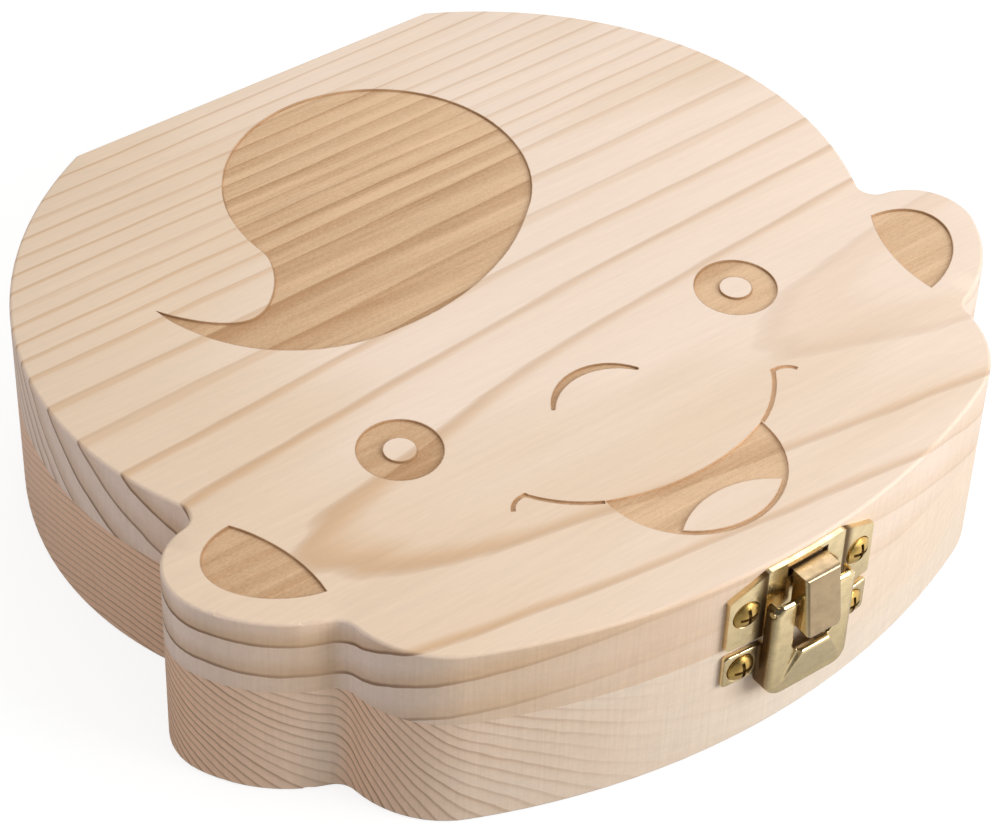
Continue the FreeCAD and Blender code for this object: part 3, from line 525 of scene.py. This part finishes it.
def fibre_group(name):
    """Fibres along the grain, upright cutter marks, and how far a face is end grain or a wall."""
    inputs = [("Place", "Vector"), ("Normal", "Vector")]
    tree, given, made = new_group(name, inputs, ("Fibre", "Streak", "Cutter", "End", "Wall"))
    place = given["Place"]
    axes = axes_of(tree, given["Normal"])
    join_all(tree, {
        "Fibre": grained(tree, place, FIBRE_GRAIN, 3.0, 0.6),
        "Streak": grained(tree, place, STREAK_GRAIN, 3.0, 0.6),
        "Cutter": grained(tree, place, CUTTER_GRAIN),
        "End": calc(tree, "POWER", calc(tree, "ABSOLUTE", axes["X"]), END_POWER),
        "Wall": calc(tree, "SUBTRACT", 1.0, calc(tree, "ABSOLUTE", axes["Z"])),
    }, made)
    return tree


def rubbed_group(name):
    """Faint smears, fine scratches and dents of handled metal."""
    tree, given, made = new_group(name, [("Place", "Vector")], ("Smear", "Scratch", "Dent"))
    place = given["Place"]
    turned = put(tree, "ShaderNodeMapping", {"Vector": place, "Rotation": SCRATCH_TURN}).outputs[0]
    join_all(tree, {
        "Smear": eased(tree, noise(tree, place, SMEAR_SCALE, 3.0, 0.6), *SMEAR_EDGE),
        "Scratch": eased(tree, grained(tree, turned, SCRATCH_GRAIN), *SCRATCH_EDGE),
        "Dent": noise(tree, place, DENT_SCALE, 1.0),
    }, made)
    return tree


def new_material(name):
    """An empty node material, its tree, its shader and the place in millimetres."""
    material = bpy.data.materials.new(name)
    material.use_nodes = True
    tree = material.node_tree
    tree.nodes.clear()
    shader = put(tree, "ShaderNodeBsdfPrincipled")
    put(tree, "ShaderNodeOutputMaterial", {"Surface": shader.outputs[0]})
    coordinates = put(tree, "ShaderNodeTexCoord").outputs["Object"]
    place = stretched(tree, coordinates, (1 / MM, 1 / MM, 1 / MM))
    return material, tree, shader, place


def pine_parts(tree, place, wood):
    """The ring and fibre sockets of one board."""
    values = {
        "Place": place,
        "Heart Y": wood.pith_y / MM,
        "Heart Z": wood.pith_z / MM,
        "Drift": wood.drift,
        "Lean": wood.lean,
        "First": wood.first / MM,
        "Ring": wood.ring / MM,
        "Knee": wood.knee / MM,
        "Tighten": wood.tighten,
        "Wander": wood.wander,
        "Years": wood.years,
        "Line Width": wood.line_width / MM,
    }
    groups = bpy.data.node_groups
    rings = put(tree, "ShaderNodeGroup", values, node_tree=kept(groups, "Growth Rings", rings_group))
    faces = {"Place": place, "Normal": put(tree, "ShaderNodeNewGeometry").outputs["Normal"]}
    fibre = put(tree, "ShaderNodeGroup", faces, node_tree=kept(groups, "Pine Fibre", fibre_group))
    return rings.outputs, fibre.outputs


def scorch_mask(tree, place):
    """How burnt the engraving's edge is, with the fine teeth that burning leaves, and less at the mouth."""
    edge = put(tree, "ShaderNodeAttribute", attribute_name="scorch").outputs["Fac"]
    teeth = grained(tree, place, TEETH_GRAIN)
    heat = eased(tree, grained(tree, place, HEAT_GRAIN, 1.0), *HEAT_EDGE)
    burn = eased(tree, scaled(tree, teeth, TEETH_DEPTH, edge), *BURN_EDGE)
    near = eased(tree, edge, *NEAR_EDGE)
    axes = axes_of(tree, place)
    aside = eased(tree, calc(tree, "ABSOLUTE", axes["X"]), *BESIDE_MOUTH_RUN)
    mild = calc(tree, "MAXIMUM", aside, eased(tree, axes["Y"], *MOUTH_HEAT_RUN))
    return times(tree, times(tree, burn, times(tree, heat, mild)), near)


def pine_material(name, wood):
    """Sanded bare pine."""
    material, tree, shader, place = new_material(name)
    rings, fibre = pine_parts(tree, place, wood)
    axes = axes_of(tree, place)
    along = axes["X"]
    patch = calc(tree, "ADD", grained(tree, place, PATCH_GRAIN), eased(tree, along, *WARM_RUN))
    colour = mixed(tree, eased(tree, patch, *PATCH_EDGE), opaque(wood.pale), opaque(wood.warm))
    # Painted light: the end grain turns to the lighter left-end colour towards the left
    end = mixed(tree, eased(tree, along, *LEFT_END_LIGHT_RUN), opaque(wood.end), opaque(wood.left_end))
    colour = mixed(tree, fibre["End"], colour, end)
    front = times(tree, fibre["Wall"], calc(tree, "SUBTRACT", 1.0, fibre["End"]))
    tanned = times(tree, front, eased(tree, along, *LEFT_TAN_RUN, 0.0, wood.left_tan))
    colour = mixed(tree, tanned, colour, opaque(wood.band))
    faded = times(tree, eased(tree, along, *WALL_FADE_RUN), fibre["Wall"])
    rear = times(tree, eased(tree, axes["Y"], *REAR_FADE_RUN), fibre["Wall"])
    shown = times(tree, scaled(tree, faded, -wood.fade, 1.0), scaled(tree, rear, -wood.rear_fade, 1.0))
    level = calc(tree, "SUBTRACT", 1.0, fibre["Wall"])
    strong = times(tree, level, eased(tree, along, *BAND_RUN))
    soft = scaled(tree, fibre["Wall"], wood.wall_bands, LEAST_SOFT)
    band = scaled(tree, rings["Band"], strong, times(tree, rings["Soft"], soft))
    colour = mixed(tree, times(tree, band, shown), colour, opaque(wood.band))
    crossing = scaled(tree, fibre["End"], 1.0 - wood.side_lines, wood.side_lines)
    line = times(tree, times(tree, rings["Line"], shown), crossing)
    colour = mixed(tree, line, colour, opaque(wood.line))
    worked = times(tree, fibre["Wall"], calc(tree, "SUBTRACT", fibre["Cutter"], 0.5))
    shade = scaled(tree, fibre["Fibre"], *FIBRE_SHADE)
    shade = times(tree, shade, scaled(tree, fibre["Streak"], *STREAK_SHADE))
    shade = times(tree, shade, scaled(tree, worked, *CUTTER_SHADE))
    colour = shaded(tree, colour, shade)
    colour = mixed(tree, scorch_mask(tree, place), colour, opaque(settings().engraving.scorch))
    tree.links.new(colour, shader.inputs["Base Color"])
    tree.links.new(scaled(tree, fibre["Fibre"], *PINE_ROUGHNESS), shader.inputs["Roughness"])
    shader.inputs["Specular IOR Level"].default_value = 0.35
    height = scaled(tree, fibre["Fibre"], FIBRE_HEIGHT, times(tree, worked, CUTTER_HEIGHT))
    height = scaled(tree, rings["Line"], LINE_HEIGHT, height)
    bumped(tree, shader, height, 0.35, 0.05 * MM)
    return material


def burnt_material(name, wood):
    """The engraved floor and walls of the lid."""
    engraving = settings().engraving
    material, tree, shader, place = new_material(name)
    rings, fibre = pine_parts(tree, place, wood)
    axes = axes_of(tree, place)
    passes = grained(tree, place, PASS_GRAIN, 3.0, 0.65)
    swathe = eased(tree, grained(tree, place, SWATHE_GRAIN, 2.0, 0.6), *SWATHE_EDGE)
    flecks = eased(tree, grained(tree, place, FLECK_GRAIN, 3.0, 0.7), *FLECK_EDGE)
    grit = calc(tree, "SUBTRACT", grained(tree, place, GRIT_GRAIN, 2.0, 0.7), 0.5)
    drawn = times(tree, rings["Soft"], eased(tree, axes["Y"], *RING_BURN_RUN))
    depth = scaled(tree, rings["Line"], LINE_BURN, drawn)
    for axis, run in BURN_RUNS:
        depth = calc(tree, "ADD", depth, eased(tree, axes[axis], *run))
    depth = scaled(tree, swathe, SWATHE_BURN, depth)
    depth = scaled(tree, eased(tree, passes, *PASS_EDGE), PASS_BURN, depth)
    depth = scaled(tree, grit, GRIT_BURN, depth)
    depth = scaled(tree, flecks, scaled(tree, rings["Soft"], *FLECK_BURN), depth)
    depth = calc(tree, "MINIMUM", calc(tree, "MAXIMUM", depth, 0.0), 1.0)
    colour = mixed(tree, depth, opaque(engraving.tan), opaque(engraving.streak))
    colour = shaded(tree, colour, scaled(tree, fibre["Streak"], *BURNT_SHADE))
    colour = mixed(tree, scorch_mask(tree, place), colour, opaque(engraving.scorch))
    tree.links.new(colour, shader.inputs["Base Color"])
    shader.inputs["Roughness"].default_value = 0.7
    shader.inputs["Specular IOR Level"].default_value = 0.25
    height = scaled(tree, passes, 1.0, times(tree, fibre["Fibre"], BURNT_FIBRE_HEIGHT))
    bumped(tree, shader, height, 0.5, 0.08 * MM)
    return material


def corner_shade_mask(tree, place):
    """How much painted shade the latch's plates get, beside the shield and in the strike's slot, where dim
    reflections and contact shade fall.
    """
    axes = axes_of(tree, place)
    across = calc(tree, "ABSOLUTE", calc(tree, "SUBTRACT", axes["X"], LATCH_X / MM))
    flank = times(tree, eased(tree, across, *FLANK_INNER), eased(tree, across, *FLANK_OUTER))
    flank = times(tree, flank, eased(tree, axes["Y"], *FLANK_FRONT))
    slot = times(tree, eased(tree, axes["Z"], *SLOT_LOWER), eased(tree, axes["Z"], *SLOT_UPPER))
    slot = times(tree, slot, eased(tree, across, *SLOT_SIDE))
    return calc(tree, "MAXIMUM", flank, slot)


def metal_material(name, colour, roughness, smear_depth, dent, tarnish):
    """Handled metal with smears and fine scratches, with painted shade in the corners if that colour is
    given.
    """
    material, tree, shader, place = new_material(name)
    group = kept(bpy.data.node_groups, "Rubbed Metal", rubbed_group)
    rubbed = put(tree, "ShaderNodeGroup", {"Place": place}, node_tree=group).outputs
    dull = [channel * DULL_SHARE for channel in colour]
    skin = mixed(tree, times(tree, rubbed["Smear"], smear_depth), opaque(colour), opaque(dull))
    rough = scaled(tree, rubbed["Smear"], RUBBED_ROUGHNESS, roughness)
    rough = scaled(tree, rubbed["Scratch"], RUBBED_ROUGHNESS, rough)
    if tarnish:
        # Painted shade beside the shield and in the strike's slot
        mask = corner_shade_mask(tree, place)
        skin = mixed(tree, mask, skin, opaque(tarnish))
        rough = scaled(tree, mask, CORNER_SHADE_ROUGHNESS, rough)
    tree.links.new(skin, shader.inputs["Base Color"])
    tree.links.new(rough, shader.inputs["Roughness"])
    shader.inputs["Metallic"].default_value = 1.0
    height = scaled(tree, rubbed["Scratch"], SCRATCH_HEIGHT, rubbed["Dent"])
    bumped(tree, shader, height, dent, 0.1 * MM)
    return material


def metal(name):
    """A metal finish by name."""
    hardware = settings().hardware
    setting, *depths = METALS[name]
    colour = tuple(getattr(hardware, setting))
    tarnish = tuple(hardware.tarnish) if name in CORNER_SHADED else None
    return kept(bpy.data.materials, name, metal_material, colour, *depths, tarnish)


# Mesh helpers

def merged_copy(node):
    """A mesh in progress from a model node, with its loose triangles joined."""
    mesh = bmesh.new()
    mesh.from_mesh(frame["nodes"][node].data)
    bmesh.ops.remove_doubles(mesh, verts=mesh.verts, dist=SAME / 10)
    return mesh


def crease(mesh):
    """Smooth shading, apart from real corners."""
    for face in mesh.faces:
        face.smooth = True
    for edge in mesh.edges:
        edge.smooth = edge.is_manifold and edge.calc_face_angle() < CREASE


def finished(mesh, name, body, materials, nodes):
    """The object of a finished mesh, in place of its nodes and riding on its body, if it has just one."""
    crease(mesh)
    data = bpy.data.meshes.new(name)
    mesh.to_mesh(data)
    mesh.free()
    for material in materials:
        data.materials.append(material)
    piece = bpy.data.objects.new(name, data)
    bpy.context.scene.collection.objects.link(piece)
    if body:
        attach(piece, body)
    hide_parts(*nodes)
    return piece


def round_edges(piece, width, segments=3):
    """Live rounding of a piece's real corners."""
    modifier = piece.modifiers.new("Edges", "BEVEL")
    modifier.width = width
    modifier.segments = segments
    modifier.limit_method = "ANGLE"
    modifier.angle_limit = CREASE
    modifier.harden_normals = True
    return piece


def metal_piece(node, body, materials, edge):
    """A model node finished as a metal piece with rounded edges."""
    mesh = merged_copy(node)
    bmesh.ops.dissolve_limit(mesh, angle_limit=FLAT, verts=mesh.verts, edges=mesh.edges)
    piece = finished(mesh, node + "_finish", body, materials, [node])
    return round_edges(piece, edge)


def cast_piece(node, body, materials):
    """A model node finished as a pressed piece whose corners flow into each other."""
    hardware = settings().hardware
    piece = finished(merged_copy(node), node + "_finish", body, materials, [node])
    cells = piece.modifiers.new("Cells", "REMESH")
    cells.mode = "VOXEL"
    cells.voxel_size = hardware.cast_cell
    cells.use_smooth_shade = True
    flow = piece.modifiers.new("Flow", "SMOOTH")
    flow.factor = 0.5
    flow.iterations = hardware.cast_passes
    return piece


def screw_piece(node, body):
    """A model screw with a rounded rim and a cross in a darker colour, a painted shade in its recess."""
    hardware = settings().hardware
    mesh = merged_copy(node)
    bmesh.ops.dissolve_limit(mesh, angle_limit=FLAT, verts=mesh.verts, edges=mesh.edges)
    middle = sum((vert.co for vert in mesh.verts), Vector()) / len(mesh.verts)
    tip = max((vert.co for vert in mesh.verts), key=lambda place: (place - middle).length).copy()
    axis = (middle - tip).normalized()

    def height(place):
        return (place - tip).dot(axis)

    def reach(place):
        return (place - tip - axis * height(place)).length

    top = max(height(vert.co) for vert in mesh.verts)
    head = max(reach(vert.co) for vert in mesh.verts)
    for face in mesh.faces:
        centre = face.calc_center_median()
        facing = face.normal.dot(axis)
        sunk = height(centre) < top - CROSS_DEPTH * CROSS_FLOOR and facing > LEVEL
        near = reach(centre) < head * CROSS_WIDTH and height(centre) > top - CROSS_DEPTH * CROSS_UNDER
        # Faces of the cross take the darker colour, a painted shade in the recess
        if near and (sunk or facing < STEEP):
            face.material_index = 1
    rim = [edge for edge in mesh.edges if min(reach(vert.co) for vert in edge.verts) > head * HEAD_RIM]
    bmesh.ops.bevel(mesh, geom=rim, offset=hardware.screw_rim, offset_type="OFFSET", segments=3, profile=0.5,
                    affect="EDGES", material=-1, clamp_overlap=True)
    materials = [metal("gilt_screw"), metal("screw_dirt")]
    piece = finished(mesh, node + "_finish", body, materials, [node])
    return round_edges(piece, hardware.screw_edge, 2)


def joined_parts(faces):
    """Faces sorted into lists that hang together."""
    left = set(faces)
    parts = []
    for first in faces:
        if first not in left:
            continue
        left.remove(first)
        part = [first]
        for face in part:
            for other in [near for edge in face.edges for near in edge.link_faces if near in left]:
                left.discard(other)
                part.append(other)
        parts.append(part)
    return parts


def fringe_width(part, widest):
    """How wide the scorched line is on one engraved floor, less where that floor is narrow."""
    inside = set(part)
    edges = [edge for face in part for edge in face.edges]
    border = sum(edge.calc_length() for edge in edges if not inside.issuperset(edge.link_faces))
    return min(widest, FRINGE_SHARE * sum(face.calc_area() for face in part) / border)


def draw_back(mesh, burnt):
    """Narrow the scorched lines where a sharp corner turned their faces over."""
    for _ in range(BACK_PASSES):
        mesh.normal_update()
        turned = [face for face in mesh.faces if face.normal.z < 0 and face not in burnt and
                  min(vert.co.z for vert in face.verts) > LID_LOW.z + SAME]
        for vert in dict.fromkeys(vert for face in turned for vert in face.verts):
            if burnt.isdisjoint(vert.link_faces):
                beside = [edge.other_vert(vert) for edge in vert.link_edges]
                roots = [other for other in beside if not burnt.isdisjoint(other.link_faces)]
                if roots:
                    root = min(roots, key=lambda other: (other.co - vert.co).length)
                    vert.co = root.co.lerp(vert.co, BACK_SHARE)


def burn_edges(mesh, floor_width, top_width):
    """Mark the engraving of the lid, burnt on its walls and along the edges of its floor and of the top."""
    scorch = mesh.loops.layers.float.new("scorch")
    walls = []
    floor = []
    for face in mesh.faces:
        heights = [vert.co.z for vert in face.verts]
        if FLOOR_Z - SAME < min(heights) < LID_HIGH.z - SAME:
            if max(heights) < FLOOR_Z + SAME:
                floor.append(face)
            elif abs(face.normal.z) < UPRIGHT:
                walls.append(face)
    burnt = set(walls)
    sunk = set(floor)
    clean = [face for face in mesh.faces if face not in burnt and face not in sunk]
    fringe = []
    for part in joined_parts(floor):
        width = fringe_width(part, floor_width)
        fringe += bmesh.ops.inset_region(mesh, faces=part, thickness=width)["faces"]
    rim = bmesh.ops.inset_region(mesh, faces=clean, thickness=top_width)["faces"]
    draw_back(mesh, burnt)
    for face in walls + floor + fringe:
        face.material_index = 1
    for face in walls + fringe + rim:
        for loop in face.loops:
            loop[scorch] = float(not burnt.isdisjoint(loop.vert.link_faces))


class TOOTHBOX_OT_lid(bpy.types.Operator):
    """Finish the lid's board with its burnt engraving"""
    bl_idname = "tooth_box.lid"
    bl_label = "Lid"

    def execute(self, context):
        box = settings()
        mesh = merged_copy("lid_board")
        burn_edges(mesh, box.engraving.floor_fringe, box.engraving.top_fringe)
        materials = [
            kept(bpy.data.materials, "lid_pine", pine_material, box.lid),
            kept(bpy.data.materials, "burnt_pine", burnt_material, box.lid),
        ]
        finished(mesh, "lid_finish", "lid", materials, ["lid_board"])
        return {"FINISHED"}


class TOOTHBOX_OT_base(bpy.types.Operator):
    """Finish the base's block with its wells"""
    bl_idname = "tooth_box.base"
    bl_label = "Base"

    def execute(self, context):
        mesh = merged_copy("base_block")
        material = kept(bpy.data.materials, "base_pine", pine_material, settings().base)
        finished(mesh, "base_finish", "base", [material], ["base_block"])
        return {"FINISHED"}


class TOOTHBOX_OT_latch(bpy.types.Operator):
    """Finish the latch's plates, lever and pin"""
    bl_idname = "tooth_box.latch"
    bl_label = "Latch"

    def execute(self, context):
        hardware = settings().hardware
        edge = hardware.plate_edge
        metal_piece("strike_plate", "lid", [metal("plate_brass")], edge)
        metal_piece("latch_pin", "base", [metal("polished_brass")], edge)
        cast_piece("latch_plate", "base", [metal("plate_brass")])
        finishes = [metal("worn_brass"), metal("polished_brass")]
        lever = metal_piece("latch_lever", "latch_lever", finishes, hardware.lever_edge)
        # Faces that do not face along X take the darker lever brass, a painted shade; the sides facing along
        # X keep the plain brass
        for face in lever.data.polygons:
            face.material_index = int(abs(face.normal.x) > SIDEWAYS)
        return {"FINISHED"}


class TOOTHBOX_OT_screws(bpy.types.Operator):
    """Finish the screws of the latch and the hinges"""
    bl_idname = "tooth_box.screws"
    bl_label = "Screws"

    def execute(self, context):
        for side in SIDES:
            for stem, body in SCREW_BODIES.items():
                screw_piece(stem + "_" + side, body)
            for leaf, body in HINGE_BODIES.items():
                for number in (1, 2):
                    screw_piece("hinge_%s_%s_screw_%d" % (side, leaf, number), body)
        return {"FINISHED"}


class TOOTHBOX_OT_hinges(bpy.types.Operator):
    """Finish the hinge leaves and their pins"""
    bl_idname = "tooth_box.hinges"
    bl_label = "Hinges"

    def execute(self, context):
        edge = settings().hardware.plate_edge
        finishes = [metal("polished_brass")]
        for side in SIDES:
            metal_piece("hinge_%s_pin" % side, "base", finishes, edge)
            for leaf, body in HINGE_BODIES.items():
                metal_piece("hinge_%s_%s_leaf" % (side, leaf), body, finishes, edge)
        return {"FINISHED"}


def drawn_out(mesh, cap, way):
    """Pull a cap face along a vector and give back the cap at the new end."""
    made = bmesh.ops.extrude_face_region(mesh, geom=[cap])["geom"]
    verts = [item for item in made if isinstance(item, bmesh.types.BMVert)]
    bmesh.ops.translate(mesh, vec=way, verts=verts)
    bmesh.ops.delete(mesh, geom=[cap], context="FACES_ONLY")
    return [item for item in made if isinstance(item, bmesh.types.BMFace)][0]


class TOOTHBOX_OT_spring(bpy.types.Operator):
    """Wind the latch spring"""
    bl_idname = "tooth_box.spring"
    bl_label = "Spring"

    def execute(self, context):
        size = settings().spring
        axis = Vector((-1, 0, 0))
        rise = size.pitch * size.sweep / (2 * math.pi)
        start_out = Vector((0, -math.cos(size.front), math.sin(size.front)))
        start = LATCH_PIVOT + start_out * size.coil - Vector((rise / 2, 0, 0))
        climb = size.pitch / (2 * math.pi)
        around = Vector((0, math.sin(size.front), math.cos(size.front))) * size.coil
        start_way = (around + Vector((climb, 0, 0))).normalized()
        mesh = bmesh.new()
        turn = Vector((0, 0, 1)).rotation_difference(start_way).to_matrix().to_4x4()
        ring = bmesh.ops.create_circle(mesh, cap_ends=False, radius=size.wire, segments=WIRE_SIDES,
                                       matrix=Matrix.Translation(start) @ turn)["verts"]
        edges = list(dict.fromkeys(edge for vert in ring for edge in vert.link_edges))
        wound = bmesh.ops.spin(mesh, geom=ring + edges, cent=LATCH_PIVOT, axis=axis, angle=size.sweep,
                               dvec=Vector((rise / COIL_STEPS, 0, 0)), steps=COIL_STEPS)["geom_last"]
        last = [item for item in wound if isinstance(item, bmesh.types.BMEdge)]
        first_cap = bmesh.ops.contextual_create(mesh, geom=edges)["faces"][0]
        last_cap = bmesh.ops.contextual_create(mesh, geom=last)["faces"][0]
        spun = Matrix.Rotation(size.sweep, 3, axis)
        drawn_out(mesh, first_cap, -start_way * size.front_leg)
        drawn_out(mesh, last_cap, spun @ start_way * size.back_leg)
        bmesh.ops.recalc_face_normals(mesh, faces=mesh.faces)
        piece = finished(mesh, "spring_finish", None, [metal("wire_steel")],
                         ["latch_spring"])
        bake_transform(piece)
        return {"FINISHED"}


def area_light(name, place, width, power):
    """A square soft light that faces the box."""
    data = bpy.data.lights.new(name, "AREA")
    data.size = width
    data.energy = power
    lamp = bpy.data.objects.new(name, data)
    lamp.location = place
    lamp.rotation_euler = (-Vector(place)).to_track_quat("-Z", "Y").to_euler()
    bpy.context.scene.collection.objects.link(lamp)


def lengthwise(tree, place, way):
    """How far a place lies along a way."""
    return put(tree, "ShaderNodeVectorMath", {0: place, 1: way}, operation="DOT_PRODUCT").outputs["Value"]


def looking(tree):
    """Sockets that are one where a camera ray looks and where a mirror or glass ray looks."""
    path = put(tree, "ShaderNodeLightPath").outputs
    return path["Is Camera Ray"], calc(tree, "MAXIMUM", path["Is Glossy Ray"], path["Is Transmission Ray"])


def studio_world(ambient, shade):
    """A room with plain soft light, white to look at and dimmer on the left in the brass."""
    world = bpy.data.worlds.new("Studio")
    world.use_nodes = True
    tree = world.node_tree
    tree.nodes.clear()
    way = put(tree, "ShaderNodeTexCoord").outputs["Generated"]
    side = eased(tree, lengthwise(tree, way, BRIGHT_SIDE), *ROOM_RUN, shade, 1.0)
    camera, mirror = looking(tree)
    strength = scaled(tree, camera, 1.0 - ambient, ambient)
    strength = scaled(tree, mirror, calc(tree, "SUBTRACT", side, ambient), strength)
    back = put(tree, "ShaderNodeBackground", {"Color": (1.0, 1.0, 1.0, 1.0), "Strength": strength})
    put(tree, "ShaderNodeOutputWorld", {"Surface": back.outputs[0]})
    bpy.context.scene.world = world


def floor_material(colour, shade):
    """A pale floor that keeps a shadow and looks white where none falls, dimmer on the left in the brass,
    with a painted shadow near the box in the brass.
    """
    material = bpy.data.materials.new("studio_floor")
    material.use_nodes = True
    tree = material.node_tree
    tree.nodes.clear()
    matt = put(tree, "ShaderNodeBsdfDiffuse", {"Color": opaque(colour)})
    place = put(tree, "ShaderNodeTexCoord").outputs["Object"]
    camera, mirror = looking(tree)
    side = eased(tree, lengthwise(tree, place, BRIGHT_SIDE), *FLOOR_SIDE_RUN, shade, 1.0)
    # Painted shadow: mirrors see the floor's glow dimmer near the box, standing in for its contact shadow
    apart = put(tree, "ShaderNodeVectorMath", {0: place}, operation="LENGTH").outputs["Value"]
    side = times(tree, side, eased(tree, apart, *FLOOR_SHADOW_RUN))
    seen = scaled(tree, mirror, side, camera)
    white = times(tree, seen, 1.0 - FLOOR_LIT * colour[0])
    glow = put(tree, "ShaderNodeEmission", {"Strength": white})
    both = put(tree, "ShaderNodeAddShader", {0: matt.outputs[0], 1: glow.outputs[0]})
    put(tree, "ShaderNodeOutputMaterial", {"Surface": both.outputs[0]})
    return material


def photo_camera(studio):
    """A camera that stands where the photograph was taken."""
    back = Vector((
        math.sin(studio.azimuth) * math.cos(studio.elevation),
        -math.cos(studio.azimuth) * math.cos(studio.elevation),
        math.sin(studio.elevation),
    ))
    level = Vector((math.cos(studio.azimuth), math.sin(studio.azimuth), 0.0))
    upright = back.cross(level)
    right = level * math.cos(studio.roll) + upright * math.sin(studio.roll)
    up = upright * math.cos(studio.roll) - level * math.sin(studio.roll)
    data = bpy.data.cameras.new("photo_camera")
    data.sensor_fit = "HORIZONTAL"
    data.sensor_width = SENSOR_MM
    data.lens = studio.focal_pixels * SENSOR_MM / IMAGE_WIDTH
    data.clip_start = NEAREST
    camera = bpy.data.objects.new("photo_camera", data)
    turn = Matrix((right, up, back)).transposed().to_4x4()
    camera.matrix_world = Matrix.Translation(Vector(studio.look) + back * studio.distance) @ turn
    bpy.context.scene.collection.objects.link(camera)
    bpy.context.scene.camera = camera


class TOOTHBOX_OT_stage(bpy.types.Operator):
    """Set up the floor, the lights and the camera"""
    bl_idname = "tooth_box.stage"
    bl_label = "Stage"

    def execute(self, context):
        studio = settings().studio
        mesh = bmesh.new()
        bmesh.ops.create_grid(mesh, x_segments=1, y_segments=1, size=FLOOR_REACH)
        bmesh.ops.translate(mesh, vec=(0, 0, BASE_LOW.z), verts=mesh.verts)
        data = bpy.data.meshes.new("studio_floor")
        mesh.to_mesh(data)
        mesh.free()
        data.materials.append(floor_material(studio.floor, studio.shade))
        floor = bpy.data.objects.new("studio_floor", data)
        bpy.context.scene.collection.objects.link(floor)
        area_light("key_light", KEY_PLACE, KEY_WIDTH, studio.key_power)
        area_light("sheen_light", SHEEN_PLACE, SHEEN_WIDTH, studio.sheen_power)
        studio_world(studio.ambient, studio.shade)
        photo_camera(studio)
        context.scene.view_settings.view_transform = "Standard"
        return {"FINISHED"}


class TOOTHBOX_PT_panel(bpy.types.Panel):
    """The steps that finish the box, in order"""
    bl_idname = "TOOTHBOX_PT_panel"
    bl_label = "Tooth Box"
    bl_space_type = "VIEW_3D"
    bl_region_type = "UI"
    bl_category = "Tooth Box"

    def draw(self, context):
        for step in STEPS:
            self.layout.operator(step.bl_idname)
        for name in ToothBox.__annotations__:
            group = getattr(settings(), name)
            column = self.layout.column(heading=name)
            for field in group.__annotations__:
                column.prop(group, field)


GROUPS = (LidWood, BaseWood, Engraving, Hardware, Spring, Studio, ToothBox)
STEPS = (
    TOOTHBOX_OT_lid,
    TOOTHBOX_OT_base,
    TOOTHBOX_OT_latch,
    TOOTHBOX_OT_screws,
    TOOTHBOX_OT_hinges,
    TOOTHBOX_OT_spring,
    TOOTHBOX_OT_stage,
)


def register():
    """Make the settings, the steps and the panel known."""
    for kind in GROUPS + STEPS + (TOOTHBOX_PT_panel,):
        bpy.utils.register_class(kind)
    bpy.types.Scene.tooth_box = bpy.props.PointerProperty(type=ToothBox)


def unregister():
    """Take the settings, the steps and the panel away again."""
    del bpy.types.Scene.tooth_box
    for kind in reversed(GROUPS + STEPS + (TOOTHBOX_PT_panel,)):
        bpy.utils.unregister_class(kind)


def main():
    """Run every step."""
    register()
    bpy.ops.tooth_box.lid()
    bpy.ops.tooth_box.base()
    bpy.ops.tooth_box.latch()
    bpy.ops.tooth_box.screws()
    bpy.ops.tooth_box.hinges()
    bpy.ops.tooth_box.spring()
    bpy.ops.tooth_box.stage()


if __name__ == "__main__":
    main()
